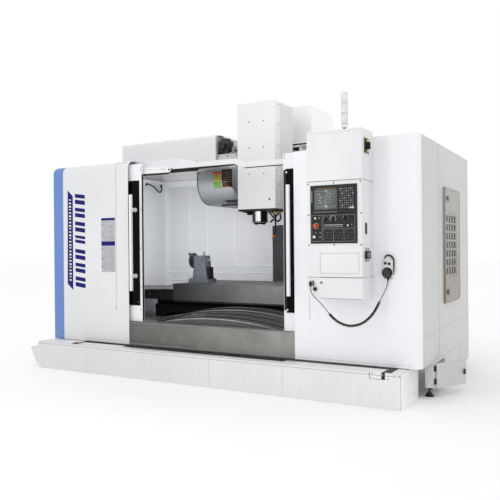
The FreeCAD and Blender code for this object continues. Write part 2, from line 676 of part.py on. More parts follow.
# ---------------------------------------------------------------- tailstock
p = Piece("tailstock_body")
p.pad("XY", table_hi, 40, rect(-985, -700, 1080, 1260))
p.pad("XZ", 1110, 120, [(-950, table_hi + 40), (-735, table_hi + 40), (-760, 1110), (-770, 1226), (-925, 1226), (-925, 1110)])
p.pocket("YZ", -930, 170, ((1170, 1166, 32.0 + 0.08),))
p = Piece("tailstock_quill")
p.turned("X", 0, Z(1170), Z(1166), [(-915, 0), (-915, 32), (-765, 32), (-752, 26), (-745, 18), (-712, 0)])
p = Piece("tailstock_handwheel")
p.turned("X", 0, Z(1170), Z(1166), [(-990, 0), (-990, 22), (-974, 22), (-974, 78), (-982, 82), (-982, 92), (-958, 92), (-958, 82),
                                    (-966, 78), (-966, 30), (-926, 30), (-926, 12), (-917, 12), (-917, 0)])
p.pad("YZ", -1042, 62, ((1170, 1166 + 76, 11.0),))

# ---------------------------------------------------------------- control cabinet
p = Piece("control_cabinet")
p.pad("XY", cab_lo, cab_hi - cab_lo, rect(cab_l, cab_r, -cab_y, 0))
p.pocket("XY", cab_lo + 4, cab_hi - cab_lo - 8, rect(cab_l + 4, cab_r - 4, -cab_y + 4, -4))
p.pocket("XZ", -cab_y - 1, 6, rect(pan_l + 12, pan_r - 12, pan_lo + 12, pan_hi - 12))
for gz in (1060, 1866):
    f = p.pocket("XZ", -cab_y - 1, 3, rect(cab_l - 1, cab_r + 1, gz, gz + 4))
p.pocket("XZ", -cab_y - 1, 2.5, rect(1328, 1676, 1092, 1266))
p.pad("XZ", -cab_y + 1, 2.9, rect(1332, 1672, 1096, 1262))
p.pad("YZ", cab_r - 1, 9, rect(-240, -116, 2085, 2212))

# Screen unit: moulded bezel with a sunk display field and key field.
p = Piece("screen_unit")
p.pad("XZ", -cab_y - 9, 9, rect(pan_l, pan_r, pan_mid + 1, pan_hi))
p.pad("XZ", -cab_y, 70, rect(pan_l + 16, pan_r - 16, pan_mid + 6, pan_hi - 16))
p.pocket("XZ", -cab_y - 10, 5, rect(1280, 1492, 1628, 1802))
p.pocket("XZ", -cab_y - 10, 3, rect(1506, 1640, 1622, 1808))

# Operator panel, bored for each knob and button.
KNOBS = (("emergency_stop", 1301.0, 1493.0, 11.0), ("cycle_start_button", 1284.0, 1402.0, 8.0),
         ("mode_knob", 1386.0, 1550.0, 5.0), ("feed_knob", 1452.0, 1552.0, 5.0), ("spindle_knob", 1556.0, 1556.0, 5.0))
p = Piece("operator_panel")
p.pad("XZ", -cab_y - 9, 9, rect(pan_l, pan_r, pan_lo, pan_mid - 1))
p.pad("XZ", -cab_y, 40, rect(pan_l + 16, pan_r - 16, pan_lo + 16, pan_mid - 6))
p.pocket("XZ", -cab_y - 10, 51, tuple((kx, kz, kr + 0.08) for _, kx, kz, kr in KNOBS))
py = -cab_y - 9
for label, kx, kz, kr in KNOBS:
    p = Piece(label)
    if label == "emergency_stop":
        p.turned("Y", kx, 0, Z(kz), [(0, py - 32), (12, py - 31), (20, py - 26), (20, py - 18), (kr, py - 14), (kr, py + 20), (0, py + 20)])
    elif label == "cycle_start_button":
        p.turned("Y", kx, 0, Z(kz), [(0, py - 9), (11, py - 9), (12, py - 8), (12, py - 5), (kr, py - 5), (kr, py + 20), (0, py + 20)])
    else:
        p.turned("Y", kx, 0, Z(kz), [(0, py - 20), (13, py - 20), (14, py - 19), (16, py - 2), (18, py - 0.5), (kr, py - 0.5), (kr, py + 20), (0, py + 20)])
        p.pad("XZ", py - 24, 10, rect(kx - 2.5, kx + 2.5, kz - 12, kz + 13))

# Main switch grip, on the plate at the cabinet's right side.
p = Piece("main_switch")
p.turned("X", 0, Z(-178), Z(2148), [(cab_r + 8.5, 0), (cab_r + 8.5, 30), (cab_r + 20, 28), (cab_r + 20, 0)])
p.pad("YZ", cab_r + 14, 28, rect(-184, -172, 2118, 2178))

# Signal tower: turned base, stem and stacked lens body.
p = Piece("signal_tower")
p.turned("Z", 1490, Z(-100), 0, [
    (0, cab_hi), (26, cab_hi), (26, cab_hi + 8), (11, cab_hi + 10), (11, cab_hi + 40), (28, cab_hi + 44), (29, cab_hi + 70),
    (27, cab_hi + 72), (27, cab_hi + 74), (29, cab_hi + 76), (29, cab_hi + 160), (27, cab_hi + 162), (27, cab_hi + 164),
    (29, cab_hi + 166), (29, cab_hi + 250), (27, cab_hi + 252), (27, cab_hi + 254), (29, cab_hi + 256), (29, cab_hi + 338),
    (24, cab_hi + 347), (0, cab_hi + 349)])

# Cord socket with its elbow plug on the lower box's front.
sox, soz = 1256, 1012
keep(joined([box(sox - 18, sox + 18, -cab_y - 4, -cab_y, soz - 18, soz + 18), rod("Y", sox, -cab_y - 40, soz, 14, 37),
             rod("Z", sox, -cab_y - 37, 985, 9, 27), rod("Z", sox, -cab_y - 37, 999, 12, 20)]), "cord_socket")

# Handheld pulse generator on the front panel: body, dial and two selectors.
pex, pez = 1832.0, 1096.0
p = Piece("pendant_body")
p.pad("XZ", -34, 34, [(1785, 1075), (1800, 1060), (1866, 1060), (1880, 1075), (1880, 1200), (1866, 1213), (1800, 1213), (1785, 1200)])
p.pad("XZ", -30, 30, [(1818, 1213), (1818, 1226), (1850, 1226), (1850, 1213)])
p.pad("XY", 1052, 12, ((pex, -17, 8.0),))
p.pocket("XZ", -35, 20, ((pex, pez, 5.08), (1818, 1176, 4.08), (1852, 1172, 4.08)))
p = Piece("pendant_dial")
p.turned("Y", pex, 0, Z(pez), [(0, -50), (34, -50), (36, -48), (36, -38), (39, -36), (39, -34.5), (5, -34.5), (5, -18), (0, -18)])
p.pad("XZ", -66, 18, ((pex + 22, pez + 12, 5.0),))
for label, kx, kz in (("pendant_axis_knob", 1818.0, 1176.0), ("pendant_step_knob", 1852.0, 1172.0)):
    p = Piece(label)
    p.turned("Y", kx, 0, Z(kz), [(0, -50), (10, -50), (11, -49), (12, -34.5), (4, -34.5), (4, -20), (0, -20)])
    p.pad("XZ", -54, 8, rect(kx - 2, kx + 2, kz - 8, kz + 9))

# ---------------------------------------------------------------- pendant cord
# Route of the curly cord: thin tails and a fat curly stretch that hangs between.
ROUTE = [(1832, -17, 1052), (1832, -17, 1003), (1817, -38, 950), (1797, -66, 898), (1775, -96, 832), (1736, -130, 748),
         (1668, -176, 676), (1576, -226, 652), (1494, -268, 682), (1436, -297, 738), (1398, -309, 794), (1352, -317, 848),
         (1298, -320, 894), (1256, -312, 935), (1256, -312, 985)]
TAIL_D, COIL_D = 8.0, 26.0


def tube(route, d, first, last):
    """Round tube along straight runs and tangent arcs; first and last are the
    run index and the share along it where the tube starts and ends."""
    pts = [V(*q) for q in route]
    n = len(pts)
    edges, radii, cursor = [], [], None
    i0, f0 = first
    i1, f1 = last
    start = pts[i0] + (pts[i0 + 1] - pts[i0]) * f0
    end = pts[i1] + (pts[i1 + 1] - pts[i1]) * f1
    cursor = start
    for k in range(i0 + 1, i1 + 1):
        a, b, c = pts[k - 1], pts[k], pts[k + 1]
        u, w = (b - a).normalize(), (c - b).normalize()
        turn = u.getAngle(w)
        reach = 0.45 * min((pts[k] - pts[k - 1]).Length, (pts[k + 1] - pts[k]).Length)
        radius = reach / math.tan(turn / 2)
        radii.append(radius)
        s, e = b - u * reach, b + w * reach
        mid_dir = (w - u).normalize()
        centre = b + mid_dir * (radius / math.cos(turn / 2))
        m = centre - mid_dir * radius
        edges.append(Part.LineSegment(cursor, s).toShape())
        edges.append(Part.Arc(s, m, e).toShape())
        cursor = e
    edges.append(Part.LineSegment(cursor, end).toShape())
    wire = Part.Wire(edges)
    t = (pts[i0 + 1] - pts[i0]).normalize()
    ring = Part.Wire([Part.Circle(start, t, d / 2).toShape()])
    solid = wire.makePipeShell([ring], True, False, 2)
    if solid.Volume < 0:
        solid.reverse()
    want = math.pi * d * d / 4 * wire.Length
    print("cord stretch d %.0f length %.1f mm, volume ratio %.4f, radii %s" % (
        d, wire.Length, solid.Volume / want, [round(r) for r in radii]))
    return solid, wire.Length


total = 0.0
for label, d, first, last in (("cord_tail_upper", TAIL_D, (0, 0.0), (3, 0.5)), ("cord_coil", COIL_D, (3, 0.5), (9, 0.5)),
                              ("cord_tail_lower", TAIL_D, (9, 0.5), (13, 1.0))):
    solid, length = tube(ROUTE, d, first, last)
    total += length
    f = doc.addObject("Part::Feature", fresh("Cord"))
    f.Shape = solid
    keep(f, label)
print("cord route length %.1f mm" % total)

# ---------------------------------------------------------------- side doors
# Louvred service door: pressed tray with upright slots, hinged at its back edge.
p = Piece("louvre_door")
p.pad("YZ", half_w + 1, 18, [
    (lou_y0, lou_lo + 14), ("arc", lou_y0 + 14, lou_lo + 14, 14), (lou_y0 + 14, lou_lo), (lou_y1 - 60, lou_lo),
    ("arc", lou_y1 - 60, lou_lo + 60, 60), (lou_y1, lou_lo + 60), (lou_y1, lou_hi - 14),
    ("arc", lou_y1 - 14, lou_hi - 14, 14), (lou_y1 - 14, lou_hi), (lou_y0 + 14, lou_hi), ("arc", lou_y0 + 14, lou_hi - 14, 14),
    (lou_y0, lou_hi - 14)])
p.pocket("YZ", half_w - 1, 18, rect(lou_y0 + 3, lou_y1 - 3, lou_lo + 3 + 60, lou_hi - 3 - 12))
for ly in (985, 1085, 1185, 1285):
    r = p.pocket("YZ", half_w + 10, 20, rect(ly, ly + 16, 1010, 1085))
    p.repeat(r, "Z", 558, 7)
p.pad("XY", lou_hi - 180, 90, ((half_w + 10, lou_y1 + 6, 7.0),))
p.pad("XY", lou_lo + 110, 90, ((half_w + 10, lou_y1 + 6, 7.0),))
for lz in (1767, 888):
    p.pad("YZ", half_w + 18, 9, ((905, lz, 16.0),))
    p.pad("YZ", half_w + 24, 14, rect(899, 911, lz - 34, lz + 20))

# Terminal box under the side skirt, open to the right, and its door, ajar.
keep(cut(box(box_l, box_r, box_y, box_back, box_lo, skirt),
         [box(box_l + 3, box_r + 5, box_y + 3, box_back - 3, box_lo + 3, skirt - 3)]), "terminal_box")
td = doc.addObject("Part::Box", "DoorPlate")
bind(td, "Length", 16)
bind(td, "Width", tdoor_w)
bind(td, "Height", skirt - box_lo - 4)
bind(td, "Placement.Base.x", -7)
bind(td, "Placement.Base.y", 5)
ti = doc.addObject("Part::Box", "DoorHollow")
bind(ti, "Length", 14)
bind(ti, "Width", tdoor_w - 4)
bind(ti, "Height", skirt - box_lo - 8)
bind(ti, "Placement.Base.x", -7)
bind(ti, "Placement.Base.y", 7)
bind(ti, "Placement.Base.z", 2)
tray = cut(td, [ti])
h1 = doc.addObject("Part::Cylinder", "HingeLower")
h2 = doc.addObject("Part::Cylinder", "HingeUpper")
for hh, hz in ((h1, 14), (h2, 150)):
    bind(hh, "Radius", 6)
    bind(hh, "Height", 50)
    bind(hh, "Placement.Base.z", hz)
lg = doc.addObject("Part::Box", "LatchGrip")
bind(lg, "Length", 20)
bind(lg, "Width", 14)
bind(lg, "Height", 44)
bind(lg, "Placement.Base.x", 8)
bind(lg, "Placement.Base.y", tdoor_w - 30)
bind(lg, "Placement.Base.z", 90)
door = joined([tray, h1, h2, lg])
door.Placement = FreeCAD.Placement(V(0, 0, 0), FreeCAD.Rotation(V(0, 0, 1), -1))
door.Label = "terminal_box_door"
bind(door, "Placement.Rotation.Angle", -tdoor_a)
bind(door, "Placement.Base.x", off_x + box_r + 8)
bind(door, "Placement.Base.y", off_y + box_y - 8)
bind(door, "Placement.Base.z", box_lo + 2)
NODES.append(door)

# ---------------------------------------------------------------- coolant tank
# Open tank on the floor below the sill, rolled front rim, outlet chute at left.
p = Piece("coolant_tank")
p.pad("XY", 0, tank_hi, rect(-tank_l, tank_r, -tank_y, 285))
p.pocket("XY", 3, tank_hi, rect(-tank_l + 3, tank_r - 3, -tank_y + 3, 282))
p.pad("XY", tank_hi - 3, 3, rect(-tank_l, tank_r, -tank_y, -tank_y + 34))
p.pad("XZ", -tank_y, 120, [(-tank_l, 48), (-tank_l, 244), (-2252, 219), (-2160, 48)])
p.pocket("XZ", -tank_y + 3, 114, [(-tank_l - 5, 60), (-tank_l - 5, 260), (-2262, 236), (-2150, 60)])
p.pocket("XZ", -tank_y - 1, 6, rect(1732, 1866, 236, 300))

doc.recompute()

# ---------------------------------------------------------------- tests, output
for o in doc.Objects:
    if "Invalid" in o.State or "Error" in o.State:
        raise SystemExit("failed: %s %s %s" % (o.Name, o.Label, o.State))
for f, before in CUTS:
    if before is not None and f.Shape.Volume >= before.Shape.Volume - 1e-3:
        raise SystemExit("nothing was removed by %s" % f.Name)
box_all = FreeCAD.BoundBox()
os.makedirs("parts", exist_ok=True)
labels = [o.Label for o in NODES]
if len(set(labels)) != len(labels) or len(labels) > 60:
    raise SystemExit("names repeat or are too many: %d" % len(labels))
for o in NODES:
    s = o.Shape
    if s.isNull() or not s.isValid() or s.Volume <= 0 or not s.Solids:
        raise SystemExit("bad shape: %s" % o.Label)
    box_all.add(s.BoundBox)
for o in NODES:
    o.Shape.exportStep("parts/%s.step" % o.Label)
print("pieces", len(NODES))
print("X %.1f %.1f  Y %.1f %.1f  Z %.1f %.1f" % (
    box_all.XMin, box_all.XMax, box_all.YMin, box_all.YMax, box_all.ZMin, box_all.ZMax))
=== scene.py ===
import bpy
import bmesh
import math
import random
from mathutils import Vector, Matrix


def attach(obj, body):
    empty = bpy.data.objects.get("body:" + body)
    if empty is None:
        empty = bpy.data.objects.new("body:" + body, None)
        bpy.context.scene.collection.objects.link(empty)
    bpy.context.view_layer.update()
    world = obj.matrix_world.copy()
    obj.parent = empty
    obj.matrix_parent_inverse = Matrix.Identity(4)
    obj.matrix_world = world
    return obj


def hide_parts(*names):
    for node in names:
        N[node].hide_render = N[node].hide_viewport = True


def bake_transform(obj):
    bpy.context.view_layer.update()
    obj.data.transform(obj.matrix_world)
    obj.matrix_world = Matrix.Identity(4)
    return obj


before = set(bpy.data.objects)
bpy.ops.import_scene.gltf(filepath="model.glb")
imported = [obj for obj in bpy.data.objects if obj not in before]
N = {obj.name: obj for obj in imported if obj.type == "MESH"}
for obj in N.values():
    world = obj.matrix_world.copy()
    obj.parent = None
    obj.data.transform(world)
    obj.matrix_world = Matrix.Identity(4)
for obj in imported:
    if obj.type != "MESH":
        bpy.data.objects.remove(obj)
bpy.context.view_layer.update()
random.seed(7)

# Sizes below are millimetres about the spindle's X, the front panels' plane and the floor.
OFF = Vector((-42.0, -1336.5, 0.0))


def W(x, y, z):
    return (Vector((x, y, z)) + OFF) / 1000.0


# ------------------------------------------------------------------ materials
def new_mat(name):
    m = bpy.data.materials.new(name)
    m.use_nodes = True
    nt = m.node_tree
    b = nt.nodes["Principled BSDF"]
    return m, nt, b


def coords(nt, scale=(1, 1, 1)):
    tc = nt.nodes.new("ShaderNodeTexCoord")
    mp = nt.nodes.new("ShaderNodeMapping")
    mp.inputs["Scale"].default_value = scale
    nt.links.new(tc.outputs["Object"], mp.inputs["Vector"])
    return mp.outputs["Vector"]


def noise(nt, vec, scale, detail=3.0, rough=0.5, dist=0.0):
    n = nt.nodes.new("ShaderNodeTexNoise")
    n.inputs["Scale"].default_value = scale
    n.inputs["Detail"].default_value = detail
    n.inputs["Roughness"].default_value = rough
    n.inputs["Distortion"].default_value = dist
    nt.links.new(vec, n.inputs["Vector"])
    return n.outputs["Fac"]


def ranged(nt, fac, a, b, lo=0.0, hi=1.0):
    r = nt.nodes.new("ShaderNodeMapRange")
    r.inputs["From Min"].default_value = a
    r.inputs["From Max"].default_value = b
    r.inputs["To Min"].default_value = lo
    r.inputs["To Max"].default_value = hi
    nt.links.new(fac, r.inputs["Value"])
    return r.outputs["Result"]


def mixed(nt, fac, a, b):
    m = nt.nodes.new("ShaderNodeMix")
    m.data_type = "RGBA"
    if isinstance(fac, float):
        m.inputs[0].default_value = fac
    else:
        nt.links.new(fac, m.inputs[0])
    for i, c in ((6, a), (7, b)):
        if isinstance(c, (tuple, list)):
            m.inputs[i].default_value = (*c[:3], 1)
        else:
            nt.links.new(c, m.inputs[i])
    return m.outputs[2]


def maths(nt, op, a, b=None):
    m = nt.nodes.new("ShaderNodeMath")
    m.operation = op
    for i, v in ((0, a), (1, b)):
        if v is None:
            continue
        if isinstance(v, (int, float)):
            m.inputs[i].default_value = v
        else:
            nt.links.new(v, m.inputs[i])
    return m.outputs[0]


def bump(nt, b, height, strength, distance=0.002, prior=None):
    n = nt.nodes.new("ShaderNodeBump")
    n.inputs["Strength"].default_value = strength
    n.inputs["Distance"].default_value = distance
    nt.links.new(height, n.inputs["Height"])
    if prior is not None:
        nt.links.new(prior, n.inputs["Normal"])
    nt.links.new(n.outputs["Normal"], b.inputs["Normal"])
    return n.outputs["Normal"]


def split(nt):
    tc = nt.nodes.new("ShaderNodeTexCoord")
    s = nt.nodes.new("ShaderNodeSeparateXYZ")
    nt.links.new(tc.outputs["Object"], s.inputs["Vector"])
    return s.outputs["X"], s.outputs["Y"], s.outputs["Z"]


def darker(c, k):
    return tuple(v * k for v in c)


def paint(name, color, rough=0.38, tint=None, peel=0.10, var=0.045, dust=0.0, coat=0.25, shade=None):
    """Powder coat: faint cloudiness, orange peel, thin scuffs and a little dust low down."""
    m, nt, b = new_mat(name)
    v = coords(nt)
    big = noise(nt, v, 1.3, 4)
    col = mixed(nt, ranged(nt, big, 0.35, 0.65), darker(color, 1 - var), tint or color)
    fine = noise(nt, v, 26, 4, 0.6)
    col = mixed(nt, ranged(nt, fine, 0.45, 0.75, 0.0, 0.10), col, darker(color, 0.8))
    if dust:
        z = split(nt)[2]
        low = ranged(nt, z, 0.75, 0.05)
        streak = noise(nt, coords(nt, (9, 9, 0.8)), 5, 4, 0.6)
        amount = maths(nt, "MULTIPLY", low, ranged(nt, streak, 0.35, 0.8, 0.0, dust))
        col = mixed(nt, amount, col, (0.42, 0.39, 0.34))
    if shade:
        z = split(nt)[2]
        col = mixed(nt, ranged(nt, z, shade[0], shade[1]), col, shade[2])
    nt.links.new(col, b.inputs["Base Color"])
    nt.links.new(ranged(nt, noise(nt, v, 7, 5, 0.7), 0.3, 0.7, rough - 0.07, rough + 0.10), b.inputs["Roughness"])
    first = bump(nt, b, noise(nt, v, 420, 2), peel, 0.0004)
    bump(nt, b, noise(nt, v, 2.2, 2), 0.10, 0.004, first)
    b.inputs["Coat Weight"].default_value = coat
    b.inputs["Coat Roughness"].default_value = 0.18
    return m


def metal(name, color, rough=0.32, grain=(1, 1, 1), stain=None, stains=0.35, spot=None, metallic=1.0, var=0.18, lines=0.12):
    """Bare or machined metal: drawn grain, cloudy stains and tiny pits."""
    m, nt, b = new_mat(name)
    v = coords(nt)
    g = noise(nt, coords(nt, grain), 160, 5, 0.7)
    col = mixed(nt, ranged(nt, g, 0.3, 0.7), darker(color, 1 - var), color)
    cloud = noise(nt, v, 3.2, 6, 0.62, 0.6)
    col = mixed(nt, ranged(nt, cloud, 0.42, 0.72, 0.0, stains), col, stain or darker(color, 0.55))
    if spot:
        s = noise(nt, v, 14, 6, 0.7)
        col = mixed(nt, ranged(nt, s, 0.60, 0.72, 0.0, 0.75), col, spot)
    nt.links.new(col, b.inputs["Base Color"])
    b.inputs["Metallic"].default_value = metallic
    nt.links.new(ranged(nt, cloud, 0.3, 0.75, rough, rough + 0.22), b.inputs["Roughness"])
    bump(nt, b, g, lines, 0.0006)
    return m


def plastic(name, color, rough=0.5, grain=0.18, var=0.10, scale=700, coat=0.0, gloss=None):
    m, nt, b = new_mat(name)
    b.inputs["Specular IOR Level"].default_value = gloss if gloss is not None else (0.22 if max(color) < 0.1 else 0.5)
    v = coords(nt)
    n = noise(nt, v, 30, 4, 0.6)
    col = mixed(nt, ranged(nt, n, 0.35, 0.7), darker(color, 1 - var), tuple(min(1, c * (1 + var) + 0.002) for c in color))
    nt.links.new(col, b.inputs["Base Color"])
    nt.links.new(ranged(nt, noise(nt, v, 60, 3), 0.3, 0.7, rough - 0.06, rough + 0.08), b.inputs["Roughness"])
    bump(nt, b, noise(nt, v, scale, 2), grain, 0.0003)
    b.inputs["Coat Weight"].default_value = coat
    return m


def glass_dark(name, color=(0.0022, 0.0022, 0.0026), rough=0.10, gloss=0.05):
    m, nt, b = new_mat(name)
    v = coords(nt)
    smear = noise(nt, coords(nt, (1, 1, 0.25)), 6, 5, 0.7, 0.8)
    col = mixed(nt, ranged(nt, smear, 0.4, 0.75, 0.0, 0.5), color, tuple(c * 2.2 for c in color))
    nt.links.new(col, b.inputs["Base Color"])
    nt.links.new(ranged(nt, smear, 0.35, 0.75, rough, rough + 0.12), b.inputs["Roughness"])
    bump(nt, b, noise(nt, v, 3, 2), 0.05, 0.002)
    b.inputs["Specular IOR Level"].default_value = gloss
    return m


WHITE = paint("white_coat", (0.845, 0.855, 0.875), dust=0.08)
# Painted light: a brighter copy of the white paint for the right front cover, against the cabinet's shade on it.
WHITE_LIT = paint("white_coat_right_painted_light", (0.895, 0.905, 0.93), dust=0.05)
# Painted shade: a darker copy of the white paint for the head cover.
HEAD_SHADED = paint("white_coat_head_shaded", (0.80, 0.805, 0.82), dust=0.08)
WHITE_LOW = paint("white_coat_tank", (0.82, 0.825, 0.84), dust=0.2, rough=0.42)
WHITE_IN = paint("white_coat_inside", (0.76, 0.775, 0.80), rough=0.38, var=0.06, coat=0.2, dust=0.1)
# Painted light: a brighter copy for the column top cover, against the shade of the head in front of it.
WARM_LIT = paint("warm_white_coat_top_lit", (0.955, 0.952, 0.94), rough=0.42)
WARM = paint("warm_white_coat", (0.80, 0.795, 0.78), rough=0.42)
# Painted shade: the white paint made a shade darker for the left front cover, magazine housing and terminal box.
WHITE_SHADE = paint("white_coat_shaded", (0.755, 0.757, 0.768), rough=0.42, dust=0.10)
# Painted shade: the right side's white paint made darker, as that side gets less light.
SHADED_SIDE = paint("side_coat_painted_shade", (0.575, 0.575, 0.575), rough=0.48, var=0.04, dust=0.12)
BEIGE = paint("beige_coat", (0.56, 0.56, 0.545), rough=0.48)
CAST = paint("casting_coat", (0.62, 0.635, 0.64), rough=0.5, peel=0.5, var=0.08, dust=0.3, coat=0.1)
COVER_GREY = paint("magazine_coat", (0.30, 0.32, 0.335), rough=0.40, var=0.08)
TAIL_GREY = paint("tailstock_coat", (0.062, 0.069, 0.083), rough=0.42, var=0.10)
SILL = metal("sill_sheet", (0.30, 0.30, 0.285), rough=0.42, grain=(0.3, 1, 3), stain=(0.16, 0.155, 0.14), stains=0.55, spot=(0.40, 0.39, 0.36), metallic=0.55)
IRON = metal("ground_iron", (0.17, 0.172, 0.178), rough=0.45, grain=(0.15, 1, 2.2), stain=(0.10, 0.10, 0.105), stains=0.5, metallic=0.45)
IRON_TOP = IRON
DARK_IRON = metal("dark_iron", (0.010, 0.010, 0.011), rough=0.5, stains=0.3, metallic=0.0, var=0.3)
DARK_IRON.node_tree.nodes["Principled BSDF"].inputs["Specular IOR Level"].default_value = 0.12
STEEL = metal("ground_steel", (0.55, 0.55, 0.56), rough=0.22, grain=(1, 1, 6), stains=0.2)
STEEL_DULL = metal("dull_steel", (0.34, 0.34, 0.35), rough=0.38, grain=(4, 1, 1), stains=0.4)
WAY = metal("way_cover_steel", (0.17, 0.165, 0.16), rough=0.34, grain=(0.2, 4, 1), stain=(0.09, 0.07, 0.055), stains=0.6, spot=(0.14, 0.085, 0.05), metallic=0.7, lines=0.25)
WAY_DARK = metal("way_cover_dark", (0.092, 0.094, 0.102), rough=0.36, grain=(3, 1, 0.3), stain=(0.04, 0.04, 0.045), stains=0.5, metallic=0.6)
BLACK = plastic("black_plastic", (0.011, 0.011, 0.013), rough=0.45, gloss=0.3)
BLACK_PAINT = plastic("black_coat", (0.015, 0.015, 0.016), rough=0.35, grain=0.1, coat=0.2)
RUBBER = plastic("black_rubber", (0.012, 0.012, 0.012), rough=0.65, grain=0.3, var=0.2)
GLASS = glass_dark("smoked_pane")
LCD = glass_dark("display_glass", (0.085, 0.095, 0.094), 0.12, 0.3)
SCREW = metal("screw_steel", (0.10, 0.10, 0.105), rough=0.35, stains=0.2, metallic=0.8)
ZINC = metal("zinc_plate", (0.62, 0.62, 0.60), rough=0.28, stains=0.25)
RED = plastic("red_plastic", (0.55, 0.02, 0.02), rough=0.3, coat=0.4, grain=0.05)
YELLOW = plastic("yellow_plastic", (0.62, 0.44, 0.03), rough=0.4, grain=0.08)
LIGHT_KEY = plastic("light_plastic", (0.72, 0.72, 0.71), rough=0.35, coat=0.3, grain=0.05)
GREY_KEY = plastic("grey_key", (0.16, 0.165, 0.17), rough=0.45, grain=0.15)
KEY = plastic("dark_key", (0.045, 0.046, 0.05), rough=0.5, grain=0.2)
ORANGE = plastic("orange_plastic", (0.75, 0.20, 0.02), rough=0.4, grain=0.08)
BLUE_PL = plastic("blue_plastic", (0.03, 0.05, 0.28), rough=0.4, grain=0.08)
LENS = plastic("tower_lens", (0.78, 0.78, 0.77), rough=0.18, coat=0.6, grain=0.02)



def graded(mat, name, axis, a, b, low, high):
    """The same surface, its tone running from low to high along one axis; used below to paint light and shade."""
    m = mat.copy()
    m.name = name
    nt = m.node_tree
    bs = nt.nodes["Principled BSDF"]
    old = bs.inputs["Base Color"].links[0].from_socket
    n = nt.nodes.new("ShaderNodeVectorMath")
    n.operation = "SCALE"
    nt.links.new(old, n.inputs[0])
    nt.links.new(ranged(nt, split(nt)[axis], a, b, low, high), n.inputs["Scale"])
    nt.links.new(n.outputs[0], bs.inputs["Base Color"])
    return m


def parted(mat, name, axis, a, b, color, metallic=None):
    """The same surface with another colour beyond a line across one axis."""
    m = mat.copy()
    m.name = name
    nt = m.node_tree
    bs = nt.nodes["Principled BSDF"]
    old = bs.inputs["Base Color"].links[0].from_socket
    f = ranged(nt, split(nt)[axis], a, b)
    cloud = ranged(nt, noise(nt, coords(nt, (1, 1, 0.4)), 3.0, 4), 0.35, 0.65)
    other = mixed(nt, cloud, color, darker(color, 0.93))
    nt.links.new(mixed(nt, f, old, other), bs.inputs["Base Color"])
    if metallic is not None:
        nt.links.new(ranged(nt, split(nt)[axis], a, b, *metallic), bs.inputs["Metallic"])
    return m


def gripped(mat, name):
    """The same surface, black on the latch that stands out of the half-open door."""
    m = mat.copy()
    m.name = name
    nt = m.node_tree
    bs = nt.nodes["Principled BSDF"]
    old = bs.inputs["Base Color"].links[0].from_socket
    x, y, z = split(nt)
    dot = nt.nodes.new("ShaderNodeVectorMath")
    dot.operation = "DOT_PRODUCT"
    dot.inputs[1].default_value = (0.8829, -0.4695, 0.0)
    tc = nt.nodes.new("ShaderNodeTexCoord")
    nt.links.new(tc.outputs["Object"], dot.inputs[0])
    f = ranged(nt, dot.outputs["Value"], 2.3192, 2.3196)
    cloud = ranged(nt, noise(nt, coords(nt, (1, 1, 1)), 40.0, 3), 0.35, 0.65)
    nt.links.new(mixed(nt, f, old, mixed(nt, cloud, (0.012, 0.012, 0.013), (0.02, 0.02, 0.021))), bs.inputs["Base Color"])
    return m


# Painted light: the sill's tone runs from darker at the left to brighter at the right; the chip pan copy keeps this
# ramp.
SILL_LIT = graded(SILL, "sill_sheet_painted_light", 0, -0.99, 0.95, 0.52, 1.30)
SILL_IN = parted(SILL_LIT, "sill_sheet_parted", 1, -1.207, -1.187, (0.60, 0.61, 0.63), (0.55, 0.0))
# Painted light: the table's tone runs from dark at the left to bright at the right.
IRON_LIT = graded(IRON, "ground_iron_painted_light", 0, -1.0, 0.75, 0.5, 2.0)
# Painted shade: the chamber walls darker everywhere but on the left wall.
WALL_SHADE = graded(WHITE_IN, "white_coat_wall_painted_shade", 0, -2.08, -1.98, 1.0, 0.84)
# Painted shade: the tank's front darker towards the left; its right end face gets a brighter white.
TANK_SHADE = parted(graded(WHITE_LOW, "white_coat_tank_painted_shade", 0, -1.2, 1.7, 0.87, 0.98), "white_coat_tank_shade_parted", 0, 1.9540, 1.9545, (0.955, 0.96, 0.97))
# Painted shade: the white paint a shade darker for the cabinet and top beam.
CAB_SHADE = graded(WHITE, "white_coat_cabinet_shaded", 2, 0.0, 1.0, 0.92, 0.921)
# Painted shade: the magazine cover darker towards the bottom of its curved front.
COVER_G = graded(COVER_GREY, "magazine_coat_painted_shade", 2, 1.86, 2.2, 0.36, 0.78)
DOOR_TAN = parted(paint("service_door_coat", (0.275, 0.235, 0.19), rough=0.45, dust=0.2), "service_door_graded", 2, 0.95, 1.65, (0.315, 0.335, 0.30))

